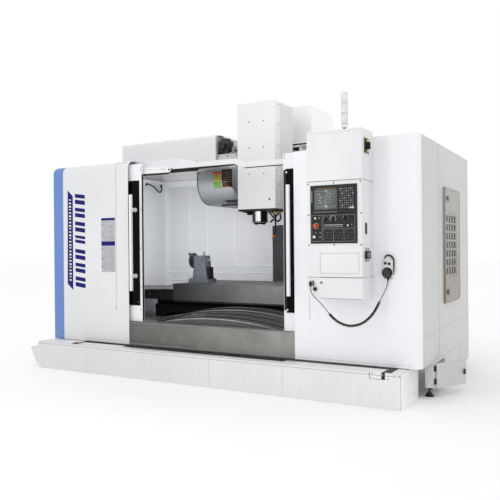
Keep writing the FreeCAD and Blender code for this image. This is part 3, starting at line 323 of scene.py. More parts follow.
DEFAULTS = {
    "machine_bed": CAST, "levelling_feet": BLACK_PAINT, "column": CAST, "front_cover_left": WHITE_SHADE, "front_cover_right": WHITE_LIT,
    "side_cover_left": WHITE, "side_cover_right": SHADED_SIDE, "chamber_walls": WALL_SHADE, "chip_pan": SILL_IN, "top_beam": CAB_SHADE,
    "magazine_cover": COVER_G, "magazine_housing": WHITE_SHADE, "magazine_drive": parted(BEIGE, "light_beige_parted", 2, 2.434, 2.438, (0.012, 0.012, 0.013)), "axis_motors": BLACK_PAINT,
    "control_cabinet": CAB_SHADE, "screen_unit": BLACK, "operator_panel": BLACK, "signal_tower": LENS, "cord_socket": BLACK,
    "column_top_cover": WARM_LIT, "terminal_box": WHITE_SHADE, "y_way_cover": WAY, "z_way_cover": WAY_DARK, "pendant_body": LIGHT_KEY,
    "cord_tail_upper": RUBBER, "cord_coil": RUBBER, "cord_tail_lower": RUBBER,
    "door_left": WHITE, "door_window_left": GLASS, "door_handle_left": WHITE,
    "door_right": WHITE, "door_window_right": GLASS, "door_handle_right": WHITE,
    "saddle": DARK_IRON, "x_cover_left": WAY, "x_cover_right": WAY, "table": IRON_LIT,
    "tailstock_body": TAIL_GREY, "tailstock_quill": STEEL, "tailstock_handwheel": STEEL_DULL,
    "x_ball_screw": STEEL, "y_ball_screw": STEEL, "z_ball_screw": STEEL,
    "head_casting": CAST, "head_cover": HEAD_SHADED, "coolant_nozzles": ORANGE, "spindle": DARK_IRON,
    "tool_carousel": STEEL_DULL, "coolant_tank": TANK_SHADE, "louvre_door": DOOR_TAN, "terminal_box_door": gripped(SHADED_SIDE, "side_coat_gripped"),
    "emergency_stop": RED, "cycle_start_button": LIGHT_KEY, "mode_knob": BLACK, "feed_knob": BLACK, "spindle_knob": BLACK,
    "main_switch": BLACK, "pendant_dial": BLACK, "pendant_axis_knob": BLACK, "pendant_step_knob": BLACK,
}


def banded(name):
    """The white coat, a shade darker as painted shade, with a sky blue band down the outer end."""
    m = WHITE_SHADE.copy()
    m.name = name
    nt = m.node_tree
    b = nt.nodes["Principled BSDF"]
    link = b.inputs["Base Color"].links[0]
    old = link.from_socket
    x = split(nt)[0]
    cloud = ranged(nt, noise(nt, coords(nt, (1, 1, 0.4)), 2.5, 4), 0.35, 0.65)
    blue = mixed(nt, cloud, (0.105, 0.215, 0.535), (0.12, 0.24, 0.57))
    col = mixed(nt, ranged(nt, x, -1.9925, -1.9915), blue, old)
    nt.links.new(col, b.inputs["Base Color"])
    return m


DEFAULTS["front_cover_left"] = banded("banded_coat")
for name, o in N.items():
    o.data.materials.clear()
    o.data.materials.append(DEFAULTS[name])

# ------------------------------------------------------------------ camera, light, floor
CAM_AT = (3459.0, -5178.0, 1315.0)
az, pitch, roll = math.radians(29.8), math.radians(-0.2), math.radians(-0.5)
F = Vector((-math.sin(az) * math.cos(pitch), math.cos(az) * math.cos(pitch), math.sin(pitch)))
R = Vector((math.cos(az), math.sin(az), 0))
U = R.cross(F)
R2 = R * math.cos(roll) + U * math.sin(roll)
U2 = U * math.cos(roll) - R * math.sin(roll)
cam_data = bpy.data.cameras.new("camera")
cam_data.sensor_width = 36.0
cam_data.lens = 36.0 * 631.0 / 500.0
cam_data.clip_end = 200
cam = bpy.data.objects.new("camera", cam_data)
bpy.context.scene.collection.objects.link(cam)
cam.matrix_world = Matrix.Translation(W(*CAM_AT)) @ Matrix((R2, U2, -F)).transposed().to_4x4()
bpy.context.scene.camera = cam

world = bpy.data.worlds.new("studio")
bpy.context.scene.world = world
world.use_nodes = True
world.node_tree.nodes["Background"].inputs["Color"].default_value = (1.0, 1.0, 1.0, 1)
world.node_tree.nodes["Background"].inputs["Strength"].default_value = 1.0


def area(name, at, to, w, h, power, color=(1, 1, 1)):
    d = bpy.data.lights.new(name, "AREA")
    d.shape = "RECTANGLE"
    d.size, d.size_y = w, h
    d.energy = power
    d.color = color
    o = bpy.data.objects.new(name, d)
    bpy.context.scene.collection.objects.link(o)
    o.location = W(*at)
    o.rotation_euler = (W(*to) - W(*at)).to_track_quat("-Z", "Y").to_euler()
    return o


area("softbox_front", (-3200, -6500, 4200), (0, 300, 1200), 5.0, 4.0, 20)
area("softbox_top", (300, -600, 7000), (100, 900, 1500), 5.0, 5.0, 18, (1.0, 0.96, 0.88))
for nm, at, to, w, h, power, shine in (
        ("strip_front", (60, -3500, 2000), (0, 1097, 1650), 0.14, 1.8, 9, True),
        ("wall_fill_left", (-1150, 900, 1500), (-1500, 2040, 1430), 1.6, 1.2, 14, False),
        ("wall_fill_right", (150, 900, 1180), (150, 2040, 1180), 0.9, 0.5, 0.8, False),
        ("door_fill", (-250, 215, 1250), (-250, 2000, 950), 3.2, 0.7, 4.5, False),
        ("roof_fill", (1350, 300, 3300), (250, 1790, 2700), 0.8, 0.8, 4.5, False)):
    o = area(nm, at, to, w, h, power)
    o.visible_camera = False
    o.visible_glossy = shine

bm = bmesh.new()
bmesh.ops.create_circle(bm, cap_ends=True, radius=60, segments=96)
me = bpy.data.meshes.new("floor")
bm.to_mesh(me)
bm.free()
floor = bpy.data.objects.new("floor", me)
bpy.context.scene.collection.objects.link(floor)
fm, fnt, fb = new_mat("floor_pale")
fcol = mixed(fnt, ranged(fnt, noise(fnt, coords(fnt), 1.5, 3), 0.3, 0.7), (0.972, 0.972, 0.972), (0.985, 0.985, 0.985))
fnt.links.new(fcol, fb.inputs["Base Color"])
fb.inputs["Roughness"].default_value = 0.85
fb.inputs["Specular IOR Level"].default_value = 0.1
me.materials.append(fm)
floor.location.z = -0.0005
sc = bpy.context.scene
sc.view_settings.view_transform = "Standard"
sc.view_settings.look = "None"
sc.view_settings.exposure = 0.0
sc.view_settings.gamma = 1.0


# ------------------------------------------------------------------ shape kit
AXES = {"X": Vector((1, 0, 0)), "Y": Vector((0, 1, 0)), "Z": Vector((0, 0, 1))}


class Kit:
    """Small shapes gathered in one mesh, each with its own material."""

    def __init__(self, name, body="machine", slot="white_paint"):
        self.name, self.body, self.slot = name, body, slot
        self.bm = bmesh.new()
        self.mats = []

    def _paint(self, faces, mat):
        if mat not in self.mats:
            self.mats.append(mat)
        i = self.mats.index(mat)
        for f in faces:
            f.material_index = i
            f.smooth = True

    def _close(self, verts, mat, bev, seg=2):
        faces = {f for v in verts for f in v.link_faces}
        self._paint(faces, mat)
        if bev:
            edges = [e for e in {e for v in verts for e in v.link_edges} if e.calc_face_angle(0) > 0.6]
            r = bmesh.ops.bevel(self.bm, geom=edges, offset=bev / 1000, offset_type="OFFSET", segments=seg,
                                profile=0.6, affect="EDGES", clamp_overlap=True)
            self._paint(r["faces"], mat)

    def box(self, mat, x0, x1, y0, y1, z0, z1, bev=0.0, seg=2):
        r = bmesh.ops.create_cube(self.bm, size=1.0)
        c = W((x0 + x1) / 2, (y0 + y1) / 2, (z0 + z1) / 2)
        for v in r["verts"]:
            v.co = Vector((c.x + v.co.x * abs(x1 - x0) / 1000, c.y + v.co.y * abs(y1 - y0) / 1000, c.z + v.co.z * abs(z1 - z0) / 1000))
        self._close(r["verts"], mat, bev, seg)
        return self

    def prism(self, mat, axis, pts, t0, t1, bev=0.0, seg=2):
        """pts are (y, z) for X, (x, z) for Y and (x, y) for Z."""
        def at(p, t):
            return W(t, p[0], p[1]) if axis == "X" else W(p[0], t, p[1]) if axis == "Y" else W(p[0], p[1], t)
        a = [self.bm.verts.new(at(p, t0)) for p in pts]
        b = [self.bm.verts.new(at(p, t1)) for p in pts]
        n = len(pts)
        fs = [self.bm.faces.new(a[::-1]), self.bm.faces.new(b)]
        fs += [self.bm.faces.new((a[i], a[(i + 1) % n], b[(i + 1) % n], b[i])) for i in range(n)]
        bmesh.ops.recalc_face_normals(self.bm, faces=fs)
        self._close(a + b, mat, bev, seg)
        return self

    def turn(self, mat, at, axis, prof, seg=24, mats=None):
        """prof: (radius, height) from the point along the axis, which may be -X, -Y or -Z."""
        sign = -1.0 if axis[0] == "-" else 1.0
        d = AXES[axis[-1]] * sign
        u = AXES["Z"] if axis[-1] != "Z" else AXES["X"]
        w = d.cross(u)
        o = Vector(at)
        rings = []
        for r, h in prof:
            if r < 1e-6:
                rings.append([self.bm.verts.new(W(*(o + d * h)))])
            else:
                rings.append([self.bm.verts.new(W(*(o + d * h + (u * math.cos(2 * math.pi * k / seg) + w * math.sin(2 * math.pi * k / seg)) * r)))
                              for k in range(seg)])
        new = []
        for i in range(len(rings) - 1):
            a, b = rings[i], rings[i + 1]
            row = []
            for k in range(seg):
                k2 = (k + 1) % seg
                if len(a) == 1 and len(b) == 1:
                    continue
                if len(a) == 1:
                    row.append(self.bm.faces.new((a[0], b[k2], b[k])))
                elif len(b) == 1:
                    row.append(self.bm.faces.new((a[k], a[k2], b[0])))
                else:
                    row.append(self.bm.faces.new((a[k], a[k2], b[k2], b[k])))
            self._paint(row, mats[i] if mats else mat)
            new += row
        if len(rings[0]) > 1:
            f = self.bm.faces.new(rings[0][::-1])
            self._paint([f], mats[0] if mats else mat)
            new.append(f)
        if len(rings[-1]) > 1:
            f = self.bm.faces.new(rings[-1])
            self._paint([f], mats[-1] if mats else mat)
            new.append(f)
        bmesh.ops.recalc_face_normals(self.bm, faces=new)
        return self

    def bolt(self, at, axis, r=6.0, h=4.0, mat=None, sock=True):
        m = mat or SCREW
        if sock:
            self.turn(m, at, axis, [(r, 0), (r, h * 0.75), (r * 0.86, h), (r * 0.5, h), (r * 0.46, h * 0.35), (0, h * 0.35)], 14,
                      mats=[m, m, m, BLACK, BLACK, BLACK])
        else:
            self.turn(m, at, axis, [(r * 1.05, 0), (r, h * 0.5), (r * 0.7, h * 0.9), (0, h)], 14)
        return self

    def bolts(self, axis, r, h, pts, mat=None, sock=True):
        for p in pts:
            self.bolt(p, axis, r, h, mat, sock)
        return self

    def tube(self, mat, pts, r, seg=10, steps=6, cap=True):
        """Round tube along a smooth line through the points."""
        P = [Vector(p) for p in pts]
        line = []
        n = len(P)
        for i in range(n - 1):
            p0, p1, p2, p3 = P[max(i - 1, 0)], P[i], P[i + 1], P[min(i + 2, n - 1)]
            for s in range(steps):
                t = s / steps
                line.append(0.5 * ((2 * p1) + (p2 - p0) * t + (2 * p0 - 5 * p1 + 4 * p2 - p3) * t * t + (3 * p1 - p0 - 3 * p2 + p3) * t ** 3))
        line.append(P[-1])
        d = (line[1] - line[0]).normalized()
        u = d.orthogonal().normalized()
        rings = []
        for i, c in enumerate(line):
            t = (line[min(i + 1, len(line) - 1)] - line[max(i - 1, 0)]).normalized()
            u = (u - t * u.dot(t)).normalized()
            w = t.cross(u)
            rings.append([self.bm.verts.new(W(*(c + (u * math.cos(2 * math.pi * k / seg) + w * math.sin(2 * math.pi * k / seg)) * r))) for k in range(seg)])
        fs = []
        for a, b in zip(rings, rings[1:]):
            for k in range(seg):
                fs.append(self.bm.faces.new((a[k], a[(k + 1) % seg], b[(k + 1) % seg], b[k])))
        if cap:
            fs.append(self.bm.faces.new(rings[0][::-1]))
            fs.append(self.bm.faces.new(rings[-1]))
        bmesh.ops.recalc_face_normals(self.bm, faces=fs)
        self._paint(fs, mat)
        return self

    def wrap(self, mat, axis, prof, t0, t1, thick):
        """A strip of even thickness over a folded line: prof as in prism, outer side on the left of travel."""
        out = []
        n = len(prof)
        for i, p in enumerate(prof):
            a = Vector(prof[max(i - 1, 0)])
            b = Vector(prof[min(i + 1, n - 1)])
            d = (b - a).normalized()
            out.append((p[0] - d.y * thick, p[1] + d.x * thick))
        return self.prism(mat, axis, list(prof) + out[::-1], t0, t1)

    def done(self, angle=38):
        me = bpy.data.meshes.new(self.name)
        self.bm.to_mesh(me)
        self.bm.free()
        for m in self.mats:
            me.materials.append(m)
        me.set_sharp_from_angle(angle=math.radians(angle))
        o = bpy.data.objects.new(self.name, me)
        bpy.context.scene.collection.objects.link(o)
        if self.body:
            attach(o, self.body)
        return o


def arc(cx, cy, r, a0, a1, n=10):
    return [(cx + r * math.cos(math.radians(a0 + (a1 - a0) * i / n)), cy + r * math.sin(math.radians(a0 + (a1 - a0) * i / n))) for i in range(n + 1)]


def round_rect(x0, x1, y0, y1, r, n=4):
    return arc(x1 - r, y0 + r, r, -90, 0, n) + arc(x1 - r, y1 - r, r, 0, 90, n) + arc(x0 + r, y1 - r, r, 90, 180, n) + arc(x0 + r, y0 + r, r, 180, 270, n)


# ------------------------------------------------------------------ curly cord
ROUTE = [(1832, -17, 1052), (1832, -17, 1003), (1817, -38, 950), (1797, -66, 898), (1775, -96, 832), (1736, -130, 748),
         (1668, -176, 676), (1576, -226, 652), (1494, -268, 682), (1436, -297, 738), (1398, -309, 794), (1352, -317, 848),
         (1298, -320, 894), (1256, -312, 935), (1256, -312, 985)]


def spline_object(name, points, resolution, bevel=0.0):
    cu = bpy.data.curves.new(name, "CURVE")
    cu.dimensions = "3D"
    sp = cu.splines.new("NURBS")
    sp.points.add(len(points) - 1)
    for p, q in zip(sp.points, points):
        p.co = (q[0], q[1], q[2], 1.0)
    sp.order_u = 3
    sp.use_endpoint_u = True
    sp.resolution_u = resolution
    cu.bevel_depth = bevel
    cu.bevel_resolution = 2
    o = bpy.data.objects.new(name, cu)
    bpy.context.scene.collection.objects.link(o)
    return o


def line_of(curve):
    bpy.context.view_layer.update()
    me = bpy.data.meshes.new_from_object(curve)
    pts = [v.co.copy() for v in me.vertices]
    bpy.data.meshes.remove(me)
    return pts


route_m = [W(*p) for p in ROUTE]
guide = spline_object("route_guide", route_m, 24)
line = line_of(guide)
bpy.data.objects.remove(guide)


def nearest(p):
    return min(range(len(line)), key=lambda i: (line[i] - p).length)


i0 = nearest((route_m[3] + route_m[4]) / 2)
i1 = nearest((route_m[9] + route_m[10]) / 2)
WIRE = 0.0066
COIL_R = 0.0130 - WIRE / 2
dist = [0.0]
for i in range(i0, i1):
    dist.append(dist[-1] + (line[i + 1] - line[i]).length)
total = dist[-1]
PITCH = 0.0088
turns = round(total / PITCH)
per = 14
count = turns * per
helix = []
u = (line[i0 + 1] - line[i0]).normalized().orthogonal().normalized()
an = 0.0
k = 0
for s in range(count + 1):
    want = total * s / count
    while k < len(dist) - 2 and dist[k + 1] < want:
        k += 1
    f = (want - dist[k]) / max(dist[k + 1] - dist[k], 1e-9)
    a, b = line[i0 + k], line[i0 + k + 1]
    c = a.lerp(b, f)
    t = (b - a).normalized()
    u = (u - t * u.dot(t)).normalized()
    w = t.cross(u)
    ramp = min(1.0, s / (per * 1.6), (count - s) / (per * 1.6))
    ramp = ramp * ramp * (3 - 2 * ramp)
    an += 2 * math.pi / per * ramp ** 1.5
    helix.append(c + (u * math.cos(an) + w * math.sin(an)) * COIL_R * ramp)
cord_points = route_m[:4] + helix + route_m[10:]
cord = spline_object("curly_cord", cord_points, 2, WIRE / 2)
cord_line = line_of(spline_object("cord_length", cord_points, 4))
bpy.data.objects.remove(bpy.data.objects["cord_length"])
cord.data.materials.append(RUBBER)
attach(cord, "machine")
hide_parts("cord_tail_upper", "cord_coil", "cord_tail_lower")
# Beige tint of the head's right side, made darker as painted shade on that face.
HEAD_SIDE_SHADE = paint("beige_head_side_shade", (0.69, 0.675, 0.64), rough=0.42)
BLUE_D = plastic("dark_blue_plastic", (0.006, 0.008, 0.055), rough=0.4, grain=0.1, gloss=0.2)
BRASS = metal("brass_fitting", (0.62, 0.36, 0.09), rough=0.3, stains=0.3)
LIP = metal("way_cover_lip", (0.50, 0.48, 0.45), rough=0.28, grain=(0.2, 4, 1), stain=(0.25, 0.20, 0.15), stains=0.4)
LIP_D = metal("way_cover_lip_dark", (0.20, 0.205, 0.21), rough=0.3, stains=0.3)
WAY_LOW = metal("way_cover_apron", (0.15, 0.145, 0.158), rough=0.4, grain=(0.3, 3, 1), stain=(0.10, 0.075, 0.05), stains=0.5, metallic=0.4, lines=0.2)
WAY_TOP = metal("way_cover_cross", (0.24, 0.24, 0.245), rough=0.34, grain=(4, 0.3, 1), stain=(0.12, 0.11, 0.10), stains=0.5, spot=(0.14, 0.12, 0.10), metallic=0.7, lines=0.25)


# ------------------------------------------------------------------ left cover
NAVY = plastic("navy_print", (0.005, 0.008, 0.15), rough=0.5, grain=0.05, gloss=0.15)
PLATE_GREY = plastic("plate_print", (0.45, 0.455, 0.48), rough=0.45, grain=0.05)
PRINT_GREY = plastic("grey_print", (0.36, 0.37, 0.40), rough=0.45, grain=0.05)
PRINT_LIGHT = plastic("light_print", (0.60, 0.61, 0.64), rough=0.45, grain=0.05)
SEAM = plastic("panel_gap", (0.26, 0.26, 0.27), rough=0.6, grain=0.1)
SEAM_MID = plastic("panel_joint", (0.36, 0.36, 0.37), rough=0.6, grain=0.1)
SEAM_SOFT = plastic("panel_fold", (0.50, 0.50, 0.51), rough=0.6, grain=0.1)

k = Kit("left_cover_trim", "machine", "grey_white_paint")
edge = [(0, 690), (0, 2165)] + arc(90, 2165, 90, 180, 90, 10)[1:] + [(1180, 2255)]
k.wrap(SEAM, "X", edge, -1167, -1163.5, 0.6)
k.bolt((-1172, 0, 684), "-Y", 6, 2.5, SCREW)
cap = arc(90, 2165, 90, 128, 90, 8) + [(1172, 2255)]
k.wrap(WHITE_SHADE, "X", cap, -1181, -997, 9)
k.box(PLATE_GREY, -1376, -1180, -1.4, 0, 1066, 1652, 0.4)
k.box(NAVY, -1376, -1180, -1.8, -1.3, 1626, 1652)
k.box(NAVY, -1376, -1180, -1.8, -1.3, 1352, 1398)
for i in range(11):
    z = 1606 - i * 21
    k.box(PRINT_GREY, -1352, -1352 + 60 + 40 * ((i * 7) % 3), -1.7, -1.3, z - 5, z)
    k.box(PRINT_GREY, -1240, -1240 + 22 + 14 * ((i * 5) % 3), -1.7, -1.3, z - 5, z)
    z = 1330 - i * 22
    k.box(PRINT_GREY, -1352, -1352 + 70 + 34 * ((i * 4) % 3), -1.7, -1.3, z - 5, z)
    k.box(PRINT_GREY, -1240, -1240 + 20 + 16 * ((i * 11) % 3), -1.7, -1.3, z - 5, z)
for z in (1585, 1480, 1320, 1215, 1130):
    k.box(BLACK, -1370, -1358, -1.8, -1.3, z - 12, z)
k.bolts("-Y", 7, 3, [(-2062, 0, 360), (-1040, 0, 360), (-1040, 0, 2110)], WHITE)
k.box(SEAM_SOFT, -2100, -995, -0.5, 0.1, 330, 332)
k.done()

k = Kit("left_cover_back", "machine", "grey_white_paint")
for y in (640, 1180, 1720):
    k.box(SEAM, -2100.6, -2100, y - 1.5, y + 1.5, 330, 2230 if y > 100 else 2100)
    k.bolts("-X", 7, 3, [(-2100, y - 30, z) for z in (420, 900, 1380, 1860, 2180)] + [(-2100, y + 30, z) for z in (420, 900, 1380, 1860, 2180)], ZINC)
for i in range(9):
    z = 760 + i * 46
    k.prism(WHITE, "Y", [(-2100, z), (-2112, z + 4), (-2112, z + 8), (-2100, z + 26)], 1300, 1620, 1)
k.prism(WHITE, "X", round_rect(1240, 1680, 700, 1230, 30), -2106, -2100, 1.5)
k.bolts("-X", 7, 3, [(-2106, y, z) for y in (1262, 1658) for z in (722, 1208)], ZINC)
k.done()

# ------------------------------------------------------------------ doors
for side, tag, lead in ((-1, "left", 845.0), (1, "right", 830.0)):
    def sx(u):
        return side * (lead + u)
    k = Kit("door_trim_" + tag, tag + "_door", "white_paint")
    # rubber seal on the leading edge, gasket round the pane, screws on the frame strip
    a, b = sorted((sx(0), sx(-1.7)))
    k.box(RUBBER, a, b, 46, 69, 552, 2104, 0.5)
    if side < 0:
        marks = [(-847, 40, 2168), (-848, 40, 2142), (-853, 40, 1731), (-858, 40, 1320), (-862, 40, 906), (-865, 40, 667)]
    else:
        marks = [(x, 40, z) for x, z in ((846, 2168), (846, 2140), (1845, 2140), (1845, 1320), (1845, 640))]
    k.bolts("-Y", 5.5, 2.5, marks, SCREW, False)
    x0, x1 = sorted((sx(33), sx(945)))
    for a, b, c, d in ((x0 - 5, x1 + 5, 2032, 2038), (x0 - 5, x1 + 5, 714, 720), (x0 - 5, x0, 720, 2032), (x1, x1 + 5, 720, 2032)):
        k.box(RUBBER, a, b, 33, 40, c, d, 1)
    # round heads of the pane's fixings
    if side < 0:
        heads = [(-894, 751, GREY_KEY, 6), (-1700, 751, GREY_KEY, 6), (-1700, 2000, GREY_KEY, 6)]
    else:
        heads = [(867, 2007, WHITE, 9), (868, 740, WHITE, 9), (1690, 740, WHITE, 9), (1690, 2007, WHITE, 9)]
    for x, z, mat, r in heads:
        k.turn(mat, (x, 32, z), "-Y", [(r, 0), (r - 0.5, 2.5), (r * 0.6, 4), (0, 4.5)], 16)
    if side > 0:
        k.box(BLACK, 834, 866, 37.4, 40, 735, 2030, 0.8)
    # hanger with two rollers on the top edge
    for u in (180, 850):
        a, b = sorted((sx(u - 45), sx(u + 45)))
        k.box(ZINC, a, b, 44, 76.5, 2098, 2122, 1.5)
    # lower edge lip and inner stiffeners
    a, b = sorted((sx(6), sx(1029)))
    k.box(WHITE, a, b, 41, 44, 545, 562, 0.8)
    for u in (350, 690):
        a, b = sorted((sx(u), sx(u + 30)))
        k.box(WHITE, a, b, 46, 66, 560, 690, 1.5)
    k.done()
    # handle: rounded posts with screw heads and dark end pieces at the CAD bar's place
    k = Kit("handle_trim_" + tag, tag + "_door", "white_paint")
    c = -923.0 if side < 0 else 917.0
    for z in (1027, 1726):
        post = LIGHT_KEY if side < 0 else BLACK
        k.turn(post, (c, 32, z), "-Y", [(24, 0), (24, 4), (22, 6), (20, 7), (20, 60), (18, 62.8), (13.5, 62.8)], 28)
        k.bolt((c, -55, z), "-Y", 5.5, 1.2, LIGHT_KEY)
    for z in (873, 1884):
        s = 1 if z > 1000 else -1
        k.box(BLACK, c - 14.2, c + 14.2, -55.2, -30.8, z - (0 if s > 0 else 4), z + (4 if s > 0 else 0), 1.2)
    k.done()

# upper rail, door bottoms' guide and header trim
k = Kit("door_rails", "machine", "white_paint")
for a, b in ((-1900, -1000), (960, 1880)):
    k.box(ZINC, a, b, 77, 81, 2092, 2128, 0.8)
    k.box(ZINC, a, b, 81, 92, 2118, 2128, 0.8)
    for i in range(4):
        k.bolt((a + 60 + i * 260, 77, 2110), "-Y", 4, 0.9)
k.box(STEEL_DULL, -995, 956, 54, 60, 540, 543.5, 0.6)
k.box(RUBBER, -990, -180, 95, 128, 2100, 2136, 3)
k.prism(RUBBER, "Y", [(-180, 2100), (-160, 2118), (230, 2124), (280, 2136), (-180, 2136)], 95, 120, 2)
k.box(RUBBER, 380, 950, 95, 112, 2086, 2093, 2)
k.bolts("-Y", 5, 2, [(x, 92, 2161) for x in (-430, -180, 70)] + [(x, 92, 2119) for x in (420, 660, 900)], WHITE)
# rounded arm at the left end of the header, with its dark lower edge
pts = [(-1000, 2110), (-540, 2104)] + arc(-513, 2131, 27, -90, 80, 8) + [(-620, 2158), (-1000, 2178)]
k.prism(WHITE, "Y", pts, 83, 91.5, 1.5)
k.prism(BLACK, "Y", [(-1000, 2090), (-540, 2085), (-508, 2092), (-487, 2112), (-479, 2131), (-484, 2150), (-489, 2146), (-486, 2131),
                     (-493, 2116), (-511, 2104), (-540, 2102), (-1000, 2110)], 82.4, 90)
k.prism(WHITE, "Y", [(-424, 2184), (-424, 2252), (-230, 2206), (-212, 2184)], 158.6, 162.2)
k.bolts("-Y", 6, 3, [(-607, 83, 2145), (-572, 83, 2139)], SCREW)
k.turn(SCREW, (-513, 83, 2133), "-Y", [(11, 0), (10.5, 3), (6, 4), (5, 2.4), (0, 2.4)], 18)
k.prism(SEAM_SOFT, "Y", [(-990, 2172), (-990, 2168), (-640, 2134), (-640, 2137)], 82.6, 83.2)
k.done()

# ------------------------------------------------------------------ sill
k = Kit("sill_trim", "machine", "bare_sheet")
k.box(STEEL_DULL, -995, 956, -1.2, 0, 534, 540.4, 0.5)
k.box(SILL, -994, 955, -3, 0, 300, 318, 1)
for x in (-960, -660, -340, -20, 300, 620, 920):
    k.bolt((x, 0, 330 + 0), "-Y", 4, 2, STEEL_DULL)
k.box(SEAM, 2, 4.5, -0.6, 0.1, 320, 534)
for i in range(14):
    x = -900 + i * 138
    k.box(SILL, x, x + 8, 30, 88, 540, 541.2, 0.4)
k.done()

# ------------------------------------------------------------------ right cover
k = Kit("right_cover_trim", "machine", "white_paint")
k.box(SEAM_SOFT, 956, 2040, -0.5, 0.1, 322, 324)
k.box(SEAM, 1106, 1109.5, -0.6, 0.1, 662, 873)
k.box(SEAM, 2100, 2100.7, 640, 644, 330, 2235)
for z in (420, 980, 1540, 2160):
    k.bolt((2100, 618, z), "X", 5, 2, ZINC)
k.prism(SEAM_MID, "X", [(60, 543), (1983, 572), (1983, 575), (60, 546)], 2100, 2100.7)
k.box(DEFAULTS["side_cover_right"], 2097.5, 2100.2, 738, 1562, 104, 303, 0.8)
k.box(SEAM_MID, 2100, 2100.7, 700, 1983, 300, 303)
k.box(SEAM_SOFT, 2100, 2100.6, 1900, 1903, 300, 2235)
k.bolts("X", 6, 2.5, [(2100, y, z) for y in (120, 1950) for z in (420, 1000, 1600, 2180)], ZINC)
k.done()

# louvred door: dark openings, raised slats, edge hem, latches
k = Kit("louvre_door_trim", "service_door", "white_paint")
TANB = DOOR_TAN
for r in range(7):
    z = 1050 + r * 82
    for i in range(4):
        y = 872 + i * 110
        k.box(BLACK, 2118.6, 2119.6, y, y + 80, z, z + 62)
        k.prism(TANB, "Y", [(2119, z + 4), (2124, z + 8), (2126.5, z + 14), (2126.5, z + 50), (2119, z + 58)], y + 22, y + 50, 0.8)
hem = round_rect(826, 1463, 784, 1862, 40, 6)
inner = round_rect(834, 1455, 792, 1854, 34, 6)
for (a, b), (c, d) in zip(zip(hem, hem[1:] + hem[:1]), zip(inner, inner[1:] + inner[:1])):
    k.prism(TANB, "X", [a, b, d, c], 2118.8, 2121.2)
for z in (1767, 888):
    k.turn(BLACK, (2119, 905, z), "X", [(17, 0), (17, 5), (15, 7), (6, 7), (5, 5), (0, 5)], 24)
    k.box(BLACK, 2124, 2128.5, 901, 909, z - 11, z + 11, 0.8)
k.done()

# hinges of the terminal box, cable glands below it and screws on its front
k = Kit("terminal_box_trim", "machine", "grey_white_paint")
for z in (118, 232):
    k.turn(BLACK, (2131, 353, z), "Z", [(8, 0), (9, 2), (9, 46), (8, 48)], 18)
    k.box(BLACK, 2117, 2129, 356.5, 360.4, z - 6, z + 48, 1)
for y in (430, 540, 650):
    k.turn(BLACK, (2070, y, 80), "-Z", [(17, 0), (17, 6), (13, 9), (12, 22), (9, 25), (0, 25)], 18)
k.bolts("-Y", 5, 2.5, [(2052, 361, 105), (2052, 361, 275), (2100, 361, 275), (2100, 361, 105)], ZINC)
k.done()

# ------------------------------------------------------------------ tank
k = Kit("tank_trim", "tank", "white_paint")
k.box(SEAM, -2128, 1996, -220.8, -220, 268, 271)
k.box(WHITE_LOW, -2124, -1620, -186, 284, 290, 293, 1)
k.box(WHITE_LOW, -1560, -990, -186, -60, 290, 293, 0.8)
k.box(WHITE_LOW, -990, 900, -186, -118, 290, 291.5, 0.5)
k.box(WHITE_LOW, 900, 1838, -186, -60, 290, 293, 0.8)
k.box(WHITE_LOW, 1912, 1994, -186, 284, 290, 293, 0.8)
k.box(BLACK, 1840, 1910, -186, -4, 288, 292.5, 0.8)
k.box(SEAM, 1993.6, 1996.8, -220.6, -219.8, 4, 289)
k.box(WHITE_LOW, 1736, 1834, -219.6, -217.8, 237, 296, 0.8)
k.box(BLACK, 1837, 1865, -219, -217, 237, 299, 0.5)
for a, b, c, d in ((1736, 1834, 237, 240), (1736, 1739, 240, 296)):
    k.box(SEAM, a, b, -220.2, -219.4, c, d)
k.box(BLACK, -1640, -1560, -190, -120, 291.5, 297, 2)
k.box(BLACK, -985, 895, -118, -40, 284, 289, 1)
for x in (-1400, -620, 160, 940):
    k.box(SEAM_SOFT, x - 1.2, x + 1.2, -220.7, -220, 2, 266)
k.bolts("-Y", 6, 3, [(x, -220, 286 - 4) for x in (-2080, 1760, 1840)], ZINC)
k.bolts("-Y", 6, 3, [(1940, -220, 276), (1985, -220, 276), (1891, -220, 256 - 12)], ZINC)
k.done()

# printed marks of plain slanted bars beside the blue band
k = Kit("left_cover_marks", "machine", "grey_white_paint")
for i in range(7):
    z = 1938 - i * 154
    h = (112, 104, 112, 84, 112, 104, 112)[i]
    for a, b in ((0, h * 0.38), (h * 0.58, h)):
        k.prism(NAVY, "Y", [(-1768, z - a), (-1617, z - a - 20), (-1617, z - b - 20), (-1768, z - b)], -0.7, 0.05)
k.prism(NAVY, "Y", [(-1878, 1982), (-1800, 1912), (-1806, 857), (-1890, 927)], -0.7, 0.05)
for i in range(26):
    z = 1880 - i * 36
    k.prism(LIGHT_KEY, "Y", [(-1860, z), (-1828, z - 4), (-1828, z - 16 - 4 * (i % 3)), (-1860, z - 12 - 4 * (i % 3))], -1.1, -0.6)
k.done()

